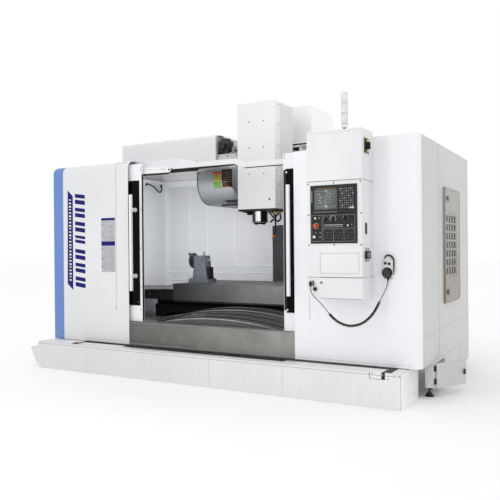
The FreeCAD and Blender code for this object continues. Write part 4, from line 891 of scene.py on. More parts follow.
# ------------------------------------------------------------------ chamber
k = Kit("chamber_seams", "machine", "white_paint")
for x in (-1632, -1342, -889):
    k.prism(WHITE_IN, "Z", [(x - 11, 2040), (x - 6, 2033), (x + 6, 2033), (x + 11, 2040)], 500 if x < -700 else 640, 2238)
for z in (2204, 1891, 1570, 1250, 930, 640):
    k.bolt((-1652, 2040, z), "-Y", 6, 3)
k.prism(WHITE_IN, "Z", [(-2057, 2040), (-2057, 2026), (-2051, 2026), (-2043, 2034), (-2043, 2040)], 480, 2240)
for z, d in ((1076, 9), (986, 7), (877, 9), (828, 6)):
    k.prism(WHITE_IN, "X", [(2040, z - 7), (2040 - d, z - 4), (2040 - d, z + 4), (2040, z + 9)], -2054, -342, 0.8)
for z in (2180, 1500, 820):
    for y in (300, 900, 1500, 1930):
        k.bolt((-2057, y, z), "X", 6, 3)
        k.bolt((2057, y, z), "-X", 6, 3)
for y in (700, 1320):
    k.prism(WHITE_IN, "Z", [(-2057, y - 10), (-2051, y - 6), (-2051, y + 6), (-2057, y + 10)], 560, 2200)
    k.prism(WHITE_IN, "Z", [(2057, y - 10), (2051, y - 6), (2051, y + 6), (2057, y + 10)], 560, 2200)
# sloping ceiling strip along the back and left walls
k.prism(WHITE_IN, "X", [(2040, 2180), (2037, 2180), (1960, 2251), (2040, 2251)], -2056, -884, 0.8)
k.prism(WHITE_IN, "Y", [(-2057, 2180), (-2054, 2180), (-2002, 2251), (-2057, 2251)], 400, 2036, 0.8)
for x in (-1900, -1650, -1400, -1150):
    k.bolt((x, 2016, 2204), "-Y", 6, 4)
# frame round the rear opening
for x in (-341, 334):
    k.box(WHITE_IN, x, x + 7, 2030, 2041, 642, 2238, 1.2)
for x in (-410, -530):
    k.bolt((x, 2040, 1177 if x > -500 else 979), "-Y", 6, 3)
k.done()

# lamp lead clipped at both ends to the left wall
k = Kit("lamp_lead", "machine", "cord_rubber")
k.turn(BLACK, (-2057, 1600, 2196), "X", [(24, 0), (24, 6), (18, 10), (18, 26), (12, 30), (0, 30)], 20)
k.tube(RUBBER, [(-2036, 1600, 2196), (-2022, 1650, 2190), (-2012, 1740, 2158), (-2012, 1820, 2110), (-2014, 1870, 2104), (-2018, 1905, 2140), (-2030, 1915, 2196)], 9, 12, 6)
k.turn(BLACK, (-2057, 1915, 2200), "X", [(16, 0), (16, 22), (12, 34), (0, 34)], 20)
k.done()

# ------------------------------------------------------------------ magazine cover and drive
GREEN = plastic("green_print", (0.07, 0.17, 0.035), rough=0.4, grain=0.05)
YELLOW_P = plastic("yellow_print", (0.33, 0.29, 0.045), rough=0.4, grain=0.05)
RED_P = plastic("red_print", (0.50, 0.03, 0.02), rough=0.4, grain=0.05)
BROWN_P = plastic("brown_print", (0.035, 0.022, 0.015), rough=0.4, grain=0.05)
ORANGE_P = plastic("orange_print", (0.24, 0.12, 0.03), rough=0.4, grain=0.05)


def on_cover(z):
    """Outer line of the magazine cover's front at a height."""
    if z >= 2111:
        return 1144.0
    return 1409 - math.sqrt(265 ** 2 - (2111 - z) ** 2)


def label(kit, mat, x0, x1, z0, z1, t):
    n = max(2, int((z1 - z0) / 14))
    zs = [z0 + (z1 - z0) * i / n for i in range(n + 1)]
    prof = [(on_cover(z), z) for z in zs]
    kit.wrap(mat, "X", prof, x0, x1, t)


k = Kit("magazine_cover_trim", "machine", "grey_white_paint")
label(k, YELLOW_P, -655, -548, 2104, 2196, 0.8)
label(k, GREEN, -655, -548, 2026, 2104, 0.8)
label(k, RED_P, -655, -548, 2196, 2222, 0.8)
for i in range(4):
    label(k, GREEN, -645, -630, 2178 - i * 18, 2186 - i * 18, 1.1)
    label(k, GREEN if i % 2 else BROWN_P, -620, -600 + 30 * (i % 2), 2178 - i * 18, 2184 - i * 18, 1.1)
label(k, ORANGE_P, -540, -392, 2032, 2243, 0.8)
label(k, BROWN_P, -536, -396, 2037, 2243, 1.2)
for i in range(5):
    label(k, ORANGE_P if i == 2 else GREY_KEY, -520, -430 + 10 * (i % 3), 2200 - i * 26, 2206 - i * 26, 1.5)
# hemmed edge at the cover's left end and screws along it
n = 16
edge = [(1144.0, 2240.0), (1144.0, 2111.0)] + arc(1409, 2111, 265, 180, 270, n)[1:] + [(2036, 1846.0)]
k.wrap(BLACK, "X", edge[::-1], -891, -880.2, 3.0)
k.wrap(COVER_G, "X", edge[::-1], -880, -873, 3.0)
k.wrap(COVER_G, "X", edge[::-1], -333, -327, 3.5)
k.bolts("-Y", 6, 3, [(-862, 1144, 2220), (-862, 1144, 2140)])
# dark lip and slide round the hatch underneath
for a, b, c, d in ((-572, -560, 1407, 1751), (-360, -348, 1407, 1751), (-572, -348, 1407, 1419), (-572, -348, 1739, 1751)):
    k.box(BLACK, a, b, c, d, 1838, 1846, 1.5)
label(k, BLACK, -575, -335, 1856, 1890, 1.0)
k.box(BLACK, -700, -580, 1400, 1415, 1834, 1846, 2)
k.turn(BLACK, (-690, 1390, 1838), "X", [(9, 0), (9, 330), (0, 330)], 14)
k.done()

k = Kit("magazine_drive_trim", "machine", "warm_white_paint")
# gearcase lid, ribs, plugs
k.box(BEIGE, -634, -351, 1205, 1215, 2262, 2425, 4)
k.bolts("-Y", 8, 5, [(x, 1205, z) for x in (-618, -492, -367) for z in (2278, 2410)])
k.turn(SCREW, (-560, 1205, 2344), "-Y", [(20, 0), (20, 5), (14, 8), (12, 8), (0, 8)], 24)
k.box(BEIGE, -345, -340, 1228, 1444, 2258, 2430, 2)
k.bolts("X", 7, 4, [(-340, y, z) for y in (1242, 1430) for z in (2272, 2416)])
# motor: black finned body with flange, terminal box and end bell
k.box(BLACK_PAINT, -640, -492, 1217, 1365, 2443, 2458, 3)
for i in range(7):
    z = 2470 + i * 16
    k.box(BLACK_PAINT, -636, -496, 1221, 1361, z, z + 6, 1.5)
k.turn(BLACK_PAINT, (-566, 1291, 2600), "Z", [(62, 0), (62, 14), (54, 26), (30, 30), (0, 30)], 32)
k.box(BLACK_PAINT, -600, -530, 1190, 1226, 2500, 2560, 4)
k.turn(BLACK, (-565, 1208, 2500), "-Z", [(11, 0), (11, 12), (8, 16), (0, 16)], 18)
# coupling and bearing pedestal at the motor's right
k.box(COVER_GREY, -480, -352, 1232, 1372, 2443, 2456, 2)
k.turn(STEEL_DULL, (-470, 1300, 2500), "X", [(30, 0), (34, 2), (34, 36), (27, 40), (27, 58), (34, 62), (34, 96), (30, 98), (14, 100), (14, 118), (0, 118)], 28)
k.prism(COVER_GREY, "X", [(1255, 2455), (1345, 2455), (1330, 2510), (1320, 2536), (1280, 2536), (1270, 2510)], -462, -440, 2)
k.prism(COVER_GREY, "X", [(1255, 2455), (1345, 2455), (1330, 2510), (1320, 2536), (1280, 2536), (1270, 2510)], -388, -366, 2)
k.tube(RUBBER, [(-565, 1208, 2484), (-565, 1204, 2470), (-600, 1210, 2456), (-660, 1235, 2452), (-700, 1250, 2450)], 6, 10, 5)
k.done()

k = Kit("magazine_housing_trim", "machine", "warm_white_paint")
k.box(SEAM_SOFT, -2100, -646, 1182.4, 1183, 2266, 2268.5)
k.wrap(WARM, "X", [(1170, 2255), (1183, 2258), (1183, 2280)], -2098, -648, 2.0)
k.box(SEAM_SOFT, -1375, -1371, 1186, 1980, 2673, 2673.6)
for x in (-2060, -1400, -1340, -700):
    for y in (1220, 1940):
        k.bolt((x, y, 2673), "Z", 7, 3, WARM)
for i in range(8):
    k.prism(WARM, "X", [(1400 + i * 44, 2673), (1404 + i * 44, 2683), (1408 + i * 44, 2683), (1426 + i * 44, 2673)], -1800, -1560, 0.8)
k.done()

# ------------------------------------------------------------------ column top cover
k = Kit("column_top_trim", "machine", "warm_white_paint")
k.box(SEAM, -335, 335, 1789.3, 1790, 2576, 2579)
k.box(SEAM, 335, 335.7, 1790, 2465, 2576, 2579)
k.box(WARM, -335, 335, 1790, 1793, 2536, 2577, 1)
k.box(WARM, 173, 335, 1790, 1793, 2440, 2540, 1)
k.box(WARM, 332, 335, 1793, 1960, 2440, 2577, 1)
k.bolts("X", 6, 2.5, [(335, y, z) for y in (1990, 2435) for z in (2600, 2990)], WARM)
k.turn(BLACK, (200, 2465, 2640), "Y", [(22, 0), (22, 8), (16, 12), (16, 26), (0, 26)], 20)
k.done()

# ------------------------------------------------------------------ head
k = Kit("head_cover_trim", "head", "white_paint")
HX0, HX1, HY = -220, 259, 980
k.bolts("-Y", 7, 3.5, [(x, HY, z) for x in (-69, 116) for z in (2726, 2435, 2142)], SCREW, False)
k.turn(SCREW, (186, HY, 1852), "-Y", [(12, 0), (12, 3), (9, 5), (4, 5), (4, 3), (0, 3)], 20)
# plate on the head's right side: a beige tint darkened as painted shade
k.prism(HEAD_SIDE_SHADE, "X", round_rect(1104, 1418, 1768, 2926, 4, 2), 259, 261)
k.bolts("X", 7, 3.5, [(259, 1072, z) for z in (2906, 2680, 2449, 2214, 2020, 1800)] + [(259, 1040, 2161)], SCREW, False)
k.bolts("-X", 7, 3.5, [(-220, y, z) for y in (1020, 1385) for z in (2906, 2560, 2214, 1800)], SCREW, False)
# hemmed lower edge and a dark skirt plate under the cover
k.box(BLACK_PAINT, -217, 256, 984, 1421, 1727, 1751.5, 2)
for a, b, c, d in ((-221.5, 260.5, 978.5, 984), (-221.5, -216, 984, 1424), (255, 260.5, 984, 1424)):
    k.box(HEAD_SHADED, a, b, c, d, 1749.5, 1757, 1)
k.done()

# spindle nose: housing ring, bolts, drive keys' ring and two bright bands of polished steel, a painted highlight on the
# sleeve
k = Kit("spindle_cartridge_trim", "head", "ground_steel")
GLOSS = plastic("gloss_black_coat", (0.004, 0.004, 0.005), rough=0.14, grain=0.02, gloss=0.3)
k.turn(GLOSS, (0, 1097, 1739), "-Z", [(84.6, 0), (92, 0), (92, 9), (88, 11), (87, 13), (87, 128), (85.5, 136), (84.6, 136.5)], 64)
SLEEVE_HIGHLIGHT = metal("painted_highlight_steel", (0.86, 0.86, 0.88), rough=0.12, grain=(1, 1, 6), stains=0.05, var=0.05, lines=0.05)
# two bands of polished steel on the sleeve's front paint its highlight
for a0, a1 in ((-20, 5), (9, 34)):
    k.wrap(SLEEVE_HIGHLIGHT, "Z", [(87.4 * math.sin(math.radians(a0 + (a1 - a0) * i / 10)), 1097 - 87.4 * math.cos(math.radians(a0 + (a1 - a0) * i / 10))) for i in range(11)], 1612, 1722, 1.0)
for i in range(8):
    a = 2 * math.pi * (i + 0.5) / 8
    k.turn(DARK_IRON, (74.5 * math.cos(a), 1097 + 74.5 * math.sin(a), 1600), "-Z", [(8, 0), (8, 5), (6, 8), (0, 8)], 12)
k.box(DARK_IRON, -190, -100, 1040, 1150, 1716, 1739, 3)
k.box(DARK_IRON, -150, -92, 1060, 1130, 1690, 1716, 3)
k.done()
k = Kit("spindle_nose_trim", "main_spindle", "ground_steel")
k.turn(DARK_IRON, (0, 1097, 1597), "-Z", [(64, 0), (66, 1), (66, 8), (64.1, 11)], 48)
for s in (-1, 1):
    k.box(STEEL, min(s * 38, s * 59), max(s * 38, s * 59), 1085.5, 1108.5, 1575.5, 1577.2, 0.5)
k.done()

# coolant hoses, jointed, with fittings and orange tips
k = Kit("coolant_hoses", "head", "hose_plastic")
k.box(DARK_IRON, 110, 250, 1090, 1190, 1722, 1739.5, 3)


def fitting(x, y, z):
    k.turn(BRASS, (x, y, z), "-Z", [(14, 0), (14, 9), (10, 10), (10, 16)], 6)
    k.turn(BRASS, (x, y, z - 16), "-Z", [(10, 0), (13, 1), (13, 15), (10, 18), (9, 24), (0, 24)], 18)


def jointed(mat, line, r):
    """Ball-jointed hose: one ring of cone after another along the line."""
    P = [Vector(p) for p in line]
    dist = [0.0]
    for a, b in zip(P, P[1:]):
        dist.append(dist[-1] + (b - a).length)
    n = max(2, round(dist[-1] / (r * 1.7)))
    pts = []
    for i in range(n * 4 + 1):
        want = dist[-1] * i / (n * 4)
        j = max(q for q in range(len(P) - 1) if dist[q] <= want + 1e-9)
        f = (want - dist[j]) / (dist[j + 1] - dist[j])
        c = P[j].lerp(P[j + 1], f)
        pts.append((c, (1.0, 1.06, 0.84, 0.72)[i % 4] * r))
    u = Vector((0, 1, 0))
    rings = []
    for i, (c, rr) in enumerate(pts):
        t = (pts[min(i + 1, len(pts) - 1)][0] - pts[max(i - 1, 0)][0]).normalized()
        u = (u - t * u.dot(t)).normalized()
        w = t.cross(u)
        rings.append([k.bm.verts.new(W(*(c + (u * math.cos(2 * math.pi * q / 14) + w * math.sin(2 * math.pi * q / 14)) * rr))) for q in range(14)])
    fs = []
    for a, b in zip(rings, rings[1:]):
        for q in range(14):
            fs.append(k.bm.faces.new((a[q], a[(q + 1) % 14], b[(q + 1) % 14], b[q])))
    fs += [k.bm.faces.new(rings[0][::-1]), k.bm.faces.new(rings[-1])]
    bmesh.ops.recalc_face_normals(k.bm, faces=fs)
    k._paint(fs, mat)


def smooth_line(pts, steps=8):
    P = [Vector(p) for p in pts]
    out = []
    for i in range(len(P) - 1):
        p0, p1, p2, p3 = P[max(i - 1, 0)], P[i], P[i + 1], P[min(i + 2, len(P) - 1)]
        for q in range(steps):
            t = q / steps
            out.append(0.5 * ((2 * p1) + (p2 - p0) * t + (2 * p0 - 5 * p1 + 4 * p2 - p3) * t * t + (3 * p1 - p0 - 3 * p2 + p3) * t ** 3))
    return out + [P[-1]]


fitting(185, 1123, 1722)
fitting(228, 1150, 1722)
jointed(BLUE_D, smooth_line([(185, 1123, 1684), (185, 1123, 1640), (184, 1123, 1570), (183, 1123, 1515), (172, 1123, 1482), (158, 1123, 1456)]), 10.5)
d = Vector((158, 1123, 1456)) - Vector((172, 1123, 1482))
k.tube(ORANGE, [(158, 1123, 1456), (152, 1123, 1446), (146, 1123, 1436), (141, 1123, 1427)], 13, 14, 3)
k.tube(ORANGE, [(141, 1123, 1427), (138, 1123, 1421), (136, 1123, 1417)], 6, 12, 3)
jointed(BLACK, smooth_line([(228, 1150, 1684), (236, 1150, 1660), (228, 1150, 1630), (203, 1150, 1612), (176, 1148, 1624), (152, 1146, 1632), (128, 1144, 1618), (112, 1142, 1600)]), 11)
jointed(BLACK, smooth_line([(92, 1150, 1722), (118, 1150, 1690), (150, 1148, 1655), (180, 1147, 1668), (206, 1146, 1694), (214, 1146, 1716)]), 10)
k.tube(RUBBER, [(120, 1168, 1722), (142, 1168, 1690), (166, 1166, 1664)], 6, 10, 5)
o = k.done()
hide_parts("coolant_nozzles")

# ------------------------------------------------------------------ way covers, table, saddle
def plate_line(half, apex, sag, n=36):
    rr = (half * half + sag * sag) / (2 * sag)
    zc = apex - rr
    a0 = math.degrees(math.atan2(apex - sag - zc, half))
    return arc(0, zc, rr, 180 - a0, a0, n)


k = Kit("front_way_plates", None, "way_cover_steel")
for i, (ya, yb, apex) in enumerate(((146, 300, 606), (285, 450, 622), (435, 600, 638), (585, 745, 654), (730, 884, 670))):
    half, sag = 860.0 - 12 * i, 105.0
    top = plate_line(half, apex, sag)
    under = [(x, z - 3) for x, z in top]
    skirt = [(half, apex - sag - 22), (half - 3, apex - sag - 22)]
    loop = top + [(half, apex - sag - 22), (half - 3, apex - sag - 22)] + under[::-1] + [(-half + 3, apex - sag - 22), (-half, apex - sag - 22)]
    k.prism(WAY, "Y", loop, ya, yb)
    # polished folded lip at the front of each plate, wiper behind it
    lip = [(x, z + 0.9) for x, z in top] + [(x, z - 9) for x, z in top][::-1]
    k.prism(LIP if i in (0, 3) else LIP_D, "Y", lip, ya - 2.0, ya + 3.5)
    wipe = [(x, z + 1.6) for x, z in plate_line(half - 4, apex, sag)] + [(x, z + 0.2) for x, z in plate_line(half - 4, apex, sag)][::-1]
    k.prism(RUBBER, "Y", wipe, ya + 3.5, ya + 12)
    for x in (-760, -380, 0, 380, 760):
        z = [p for p in top if abs(p[0] - x) == min(abs(q[0] - x) for q in top)][0][1]
        k.bolt((x, ya + 22, z), "Z", 4, 1.6, SCREW)
low = plate_line(855.0, 602, 105.0)
low = [(x, z - 1) for x, z in low if x > -640]
k.prism(WAY_LOW, "Y", [(low[0][0], 400)] + low + [(855, 400)], 149.5, 152.5)
for x in (-560, -210, 210, 620):
    k.bolt((x, 149.5, 540 if abs(x) < 400 else 512), "-Y", 6, 2.5, SCREW)
o = k.done()
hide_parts("y_way_cover")
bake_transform(o)

for side, tag in ((-1, "left"), (1, "right")):
    k = Kit("cross_way_plates_" + tag, None, "way_cover_steel")
    for i in range(6):
        a, b = 1001 + i * 174.0, 1001 + (i + 1) * 174.0 + (10 if i < 5 else 0)
        d = 4.5 * i
        y0, y1, zt = 800 + d, 1670 - d, 838 - d
        x0, x1 = (-b, -a) if side < 0 else (a, b)
        loop = [(y0, 713), (y0, zt - 4), (y0 + 4, zt), (y1 - 4, zt), (y1, zt - 4), (y1, 713), (y1 - 3, 713), (y1 - 3, zt - 6), (y1 - 6, zt - 3),
                (y0 + 6, zt - 3), (y0 + 3, zt - 6), (y0 + 3, 713)]
        k.prism(WAY_TOP, "X", loop, x0, x1)
        k.box(BLACK_PAINT, x0, x1, y0 - 0.8, y0, 715, zt - 6)
        e = -b if side < 0 else b
        s = 1 if side < 0 else -1
        k.prism(LIP_D, "X", [(y0 - 1, 713), (y0 - 1, zt - 3.6), (y0 + 3.6, zt + 1), (y1 - 3.6, zt + 1), (y1 + 1, zt - 3.6), (y1 + 1, 713), (y1 - 2, 713), (y1 - 2, zt - 5),
                           (y1 - 5, zt - 2), (y0 + 5, zt - 2), (y0 + 2, zt - 5), (y0 + 2, 713)], min(e, e + s * 5), max(e, e + s * 5))
        k.bolts("Z", 4, 1.6, [((x0 + x1) / 2, y, zt) for y in (y0 + 60, (y0 + y1) / 2, y1 - 60)])
        k.bolts("-Y", 4, 1.6, [((x0 + x1) / 2, y0, 780 - d)])
    o = k.done()
    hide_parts("x_cover_" + tag)
    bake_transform(o)

k = Kit("column_way_plates", None, "way_cover_steel")
for i in range(4):
    z1 = 1589 - i * 247.5
    z0 = z1 - 247.5 - (12 if i < 3 else 0)
    w = 310.0 - 5 * i
    y = 1982 + 5 * i
    k.prism(WAY_DARK, "Z", [(-w, 2044), (-w, y + 3), (-w + 3, y), (w - 3, y), (w, y + 3), (w, 2044), (w - 3, 2044), (w - 3, y + 4), (w - 4, y + 3), (-w + 4, y + 3), (-w + 3, y + 4), (-w + 3, 2044)], z0, z1)
    k.prism(LIP_D, "Z", [(-w - 1, 2044), (-w - 1, y + 2), (-w + 2, y - 1), (w - 2, y - 1), (w + 1, y + 2), (w + 1, 2044), (w - 2, 2044), (w - 2, y + 3), (-w + 2, y + 3), (-w + 2, 2044)], z0, z0 + 6)
    k.bolts("-Y", 4, 1.6, [(x, y, z1 - 16) for x in (-w + 50, 0, w - 50)])
o = k.done()
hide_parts("z_way_cover")
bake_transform(o)

k = Kit("table_trim", "work_table", "ground_iron")
for s in (-1, 1):
    x = s * 1000
    k.bolts("X" if s > 0 else "-X", 9, 4, [(x, y, z) for y in (840, 1000, 1160, 1310, 1470, 1640) for z in (740,)])
# Black strips under the table's front and back edges: painted shadow of the gap over the saddle.
k.box(BLACK_PAINT, -1000, 1000, 786, 800, 690, 711.6, 2)
k.box(BLACK_PAINT, -1000, 1000, 1670, 1684, 690, 711.6, 2)
k.bolts("-Y", 6, 2, [(-985, 785, z) for z in (890, 736)] + [(0, 785, 888), (985, 785, 890), (985, 785, 736)])
k.done()

k = Kit("saddle_trim", "cross_slide", "dark_casting")
k.bolts("-Y", 12, 6, [(x, 885, 606) for x in (-1280, -1100, -930, -700, -500, 500, 700, 930, 1100, 1280)], DARK_IRON)
k.bolts("-Y", 9, 5, [(x, 885, 540) for x in (-1300, -1210, 1210, 1300)], DARK_IRON)
for s in (-1, 1):
    a, b = sorted((s * 1340, s * 1352))
    k.box(DARK_IRON, a, b, 940, 1530, 520, 690, 5)
    k.bolts("X" if s > 0 else "-X", 9, 5, [(s * 1352, y, z) for y in (965, 1505) for z in (545, 665)], STEEL_DULL)
    k.turn(DARK_IRON, (s * 1352, 1235, 625), "X" if s > 0 else "-X", [(66, 0), (66, 12), (58, 18), (40, 18), (36, 26), (0, 26)], 32)
k.done()

# ------------------------------------------------------------------ tailstock
k = Kit("tailstock_trim", "work_table", "ground_iron")
for x in (-960, -725):
    for y in (1096, 1244):
        k.turn(STEEL_DULL, (x, y, 944), "Z", [(15, 0), (15, 4), (11, 4), (11, 16), (10, 18), (0, 18)], 6)
k.turn(STEEL_DULL, (-818, 1170, 1226), "Z", [(13, 0), (13, 8), (9, 11), (6, 12), (6, 30), (9, 32), (10, 40), (6, 46), (0, 47)], 20)
k.turn(TAIL_GREY, (-750, 1170, 1166), "X", [(33, -22), (48, -22), (48, -8), (44, -4), (33, -4)], 36)
# dark box on the body's right side: painted shade for that face
k.box(DARK_IRON, -762, -716, 1120, 1220, 944, 1088, 4)
k.prism(TAIL_GREY, "Y", [(-926, 948), (-900, 948), (-910, 1100), (-922, 1100)], 1104, 1110, 1)
k.bolts("-Y", 6, 3, [(-905, 1110, 1200), (-790, 1110, 1200), (-840, 1110, 1120)])
k.turn(BRASS, (-812, 1110, 1166), "-Y", [(9, 0), (9, 3), (6, 6), (0, 6)], 16)
k.done()
k = Kit("handwheel_trim", "handwheel", "ground_steel")
k.turn(BLACK, (-996, 1170, 1242), "-X", [(9, -4), (13, 0), (14, 16), (11, 34), (12.5, 44), (9, 48), (0, 49)], 18)
for i in range(3):
    a = 2 * math.pi * i / 3 + 0.5
    c, s = math.cos(a), math.sin(a)
    k.prism(STEEL_DULL, "X", [(1170 + c * 20 - s * 7, 1166 + s * 20 + c * 7), (1170 + c * 80 - s * 5, 1166 + s * 80 + c * 5),
                              (1170 + c * 80 + s * 5, 1166 + s * 80 - c * 5), (1170 + c * 20 + s * 7, 1166 + s * 20 - c * 7)], -979, -971.5, 1.5)
k.turn(STEEL_DULL, (-990, 1170, 1166), "-X", [(17, 0), (17, 3), (12, 6), (0, 6)], 6)
k.done()

# ------------------------------------------------------------------ control cabinet
CX0, CX1, CY = 1215.0, 1703.0, -275.0
k = Kit("cabinet_trim", "machine", "white_paint")
k.bolts("-Y", 6, 3.5, [(1226, CY, 1849), (1457, CY, 1850), (1690, CY, 1850), (1228, CY, 1588), (1694, CY, 1592),
                       (1229, CY, 1333), (1459, CY, 1333), (1692, CY, 1332)], SCREW, False)
# door frame round the panel and its gasket
for a, b, c, d in ((1246, 1664, 1831, 1834), (1246, 1664, 1345, 1348), (1246, 1250, 1348, 1831), (1660, 1664, 1348, 1831)):
    k.box(RUBBER, a, b, CY - 2.5, CY, c, d, 0.8)
k.box(SEAM_SOFT, CX0, CX1, CY - 0.6, CY, 2270, 2272)
k.box(GREY_KEY, CX0, CX1, CY - 0.8, CY + 0.4, 1865, 1870.5)
k.box(SEAM, CX0, CX0 + 110, CY - 0.8, CY + 0.4, 1059, 1064)
k.box(GREY_KEY, CX0 + 110, CX1, CY - 0.8, CY + 0.4, 1058.5, 1065)
for a, b, c, d in ((1328, 1676, 1092, 1096), (1328, 1676, 1262, 1266), (1328, 1332, 1096, 1262), (1672, 1676, 1096, 1262)):
    k.box(SEAM_SOFT, a, b, CY - 0.5, CY + 0.3, c, d)
k.box(SEAM, CX1, CX1 + 0.7, -272, -3, 1865, 1870)
k.box(SEAM, CX1, CX1 + 0.7, -272, -3, 1061, 1064)
k.box(SEAM_SOFT, CX1, CX1 + 0.7, -60, -57, 1064, 1866)
# flush pull and toggle latch on the right side
k.prism(BLACK, "X", round_rect(-206, -160, 1416, 1516, 20, 5), CX1, CX1 + 3, 1)
k.prism(KEY, "X", round_rect(-198, -168, 1426, 1506, 13, 5), CX1 + 3, CX1 + 4.5, 1)
k.box(ZINC, CX1, CX1 + 3, -214, -118, 1190, 1306, 1)
k.box(BLACK, CX1 + 3, CX1 + 17, -222, -104, 1215, 1281, 4)
k.box(GREY_KEY, CX1 + 17, CX1 + 20, -200, -126, 1226, 1270, 2)
k.bolts("X", 5, 2.5, [(CX1 + 3, y, z) for y in (-200, -132) for z in (1200, 1296)], SCREW)
# main switch: yellow field, black frame and pointer ring
k.box(BLACK, CX1 + 8, CX1 + 10.5, -238, -118, 2087, 2210, 2)
k.box(YELLOW, CX1 + 10, CX1 + 11.5, -176, -122, 2094, 2204, 1)
k.bolts("X", 4, 1.5, [(CX1 + 10.5, y, z) for y in (-230,) for z in (2096, 2200)], ZINC)
# lid seam and the tower's base plate
k.box(WHITE, CX0 + 4, CX1 - 4, CY + 5, -8, 2288, 2290.5, 1.2)
k.turn(BLACK, (1490, -100, 2290), "Z", [(33, 0), (33, 3), (30, 5), (0, 5)], 28)
# hinges at the left side, vents and gland below
for z in (960, 1250, 1650, 1800, 2100):
    k.turn(WHITE, (CX0 - 5, -262, z), "Z", [(5, 0), (5, 60), (0, 60)], 14)
for i in range(6):
    z = 930 + i * 18
    k.prism(WHITE, "Y", [(CX0, z), (CX0 - 7, z + 3), (CX0 - 7, z + 5), (CX0, z + 13)], -220, -60, 0.6)
k.box(SEAM, 1330, CX1, CY - 0.8, CY + 0.3, 884, 888)
# connector field: hole with a plate, chained cap
k.prism(ZINC, "Y", round_rect(1325, 1356, 1006, 1028, 9, 4), CY - 1.6, CY, 0.5)
k.turn(BLACK, (1340.5, CY - 1.6, 1017), "-Y", [(8, 0), (8, 1), (0, 1)], 18)
k.turn(BLACK, (1286, CY - 2, 962), "-Y", [(15, 0), (17, 3), (17, 14), (14, 18), (6, 20), (0, 20)], 6)
k.tube(SCREW, [(1258, CY - 10, 994), (1266, CY - 9, 985), (1276, CY - 9, 982), (1284, CY - 9, 976)], 1.6, 6, 4)
k.bolts("-Y", 3.2, 2, [(x, CY - 4, z) for x in (1242, 1270) for z in (998, 1026)], ZINC)
k.done()

k = Kit("connector_ring", "machine", "black_plastic")
k.turn(ZINC, (1256, -315, 1012), "Y", [(15.5, 6), (17, 8), (17, 20), (15.5, 22)], 24)
for i in range(12):
    a = 2 * math.pi * i / 12
    k.turn(BLACK, (1256 + 14.2 * math.cos(a), -315, 1012 + 14.2 * math.sin(a)), "Y", [(1.2, 1), (1.2, 38)], 6)
k.turn(BLACK, (1256, -312, 985), "Z", [(9.6, 0), (10.2, 2), (10.2, 12), (9.4, 14)], 18)
k.done()

# ------------------------------------------------------------------ screen unit
k = Kit("screen_trim", "machine", "black_plastic")
PY = -284.0
k.prism(LCD, "Y", round_rect(1281, 1491, 1629, 1801, 4, 3), -280.4, -279, 0.4)
# raised bezel round the display
for a, b, c, d in ((1272, 1500, 1802, 1812), (1272, 1500, 1618, 1628), (1272, 1280, 1628, 1802), (1492, 1500, 1628, 1802)):
    k.box(BLACK, a, b, PY - 2.2, PY, c, d, 1)
# soft keys under the display, plain fields on it
for i in range(9):
    k.box(GREY_KEY, 1284 + i * 23.4, 1302 + i * 23.4, PY - 3.2, PY, 1603.5, 1613, 1)
k.box(ORANGE_P, 1300, 1478, PY - 2.8, PY - 2, 1803.5, 1808.5, 0.5)
DISP = plastic("display_field", (0.115, 0.13, 0.124), rough=0.18, grain=0.02, coat=0.5)
DISP2 = plastic("display_field_dim", (0.095, 0.108, 0.103), rough=0.18, grain=0.02, coat=0.5)
k.box(DISP2, 1288, 1484, -280.9, -280.3, 1778, 1794, 0.2)
for i in range(4):
    k.box(DISP, 1294, 1294 + 70 + 12 * (i % 2), -280.9, -280.3, 1752 - i * 24, 1764 - i * 24, 0.2)
    k.box(DISP2, 1392, 1392 + 60 + 18 * ((i + 1) % 2), -280.9, -280.3, 1754 - i * 24, 1762 - i * 24, 0.2)
k.box(DISP2, 1294, 1478, -280.9, -280.3, 1640, 1664, 0.2)
# key field
for r in range(9):
    for c in range(7):
        x, z = 1511 + c * 18.4, 1789 - r * 19.6
        mat = KEY if (r * 7 + c) % 5 else GREY_KEY
        if (r, c) == (0, 5):
            mat = ORANGE_P
        if (r, c) in ((8, 5), (8, 6)):
            mat = LIGHT_KEY
        k.box(mat, x, x + 14.6, PY - 1.6, PY + 3.1, z, z + 14.8, 1.4)
        k.box(PRINT_LIGHT, x + 4.5, x + 10, PY - 1.9, PY - 1.5, z + 6, z + 8.6)
for x in (1258, 1652):
    for z in (1606, 1825):
        k.bolt((x, PY, z), "-Y", 3.6, 1.8)
k.turn(BLACK, (1262, PY, 1660), "-Y", [(6, 0), (6, 2), (4, 3), (0, 3)], 16)
k.box(GREY_KEY, 1255, 1268, PY - 1.5, PY, 1690, 1790, 1)
k.done()

# ------------------------------------------------------------------ operator panel
k = Kit("operator_trim", "machine", "black_plastic")
FRAME = plastic("panel_line", (0.36, 0.37, 0.40), rough=0.5, grain=0.05)
PRINT_DIM = plastic("dim_print", (0.10, 0.105, 0.11), rough=0.5, grain=0.05)
KEY_D = plastic("deep_key", (0.018, 0.019, 0.021), rough=0.5, grain=0.2)


def outline(x0, x1, z0, z1, t=1.6, mat=None):
    for a, b, c, d in ((x0, x1, z1 - t, z1), (x0, x1, z0, z0 + t), (x0, x0 + t, z0, z1), (x1 - t, x1, z0, z1)):
        k.box(mat or FRAME, a, b, PY - 0.5, PY + 0.05, c, d)


outline(1260, 1354, 1362, 1582)
outline(1362, 1644, 1362, 1582)
k.box(FRAME, 1362, 1644, PY - 0.5, PY, 1470, 1471.6)
k.box(FRAME, 1455, 1456.6, PY - 0.5, PY, 1362, 1470)
k.box(FRAME, 1549, 1550.6, PY - 0.5, PY, 1362, 1470)
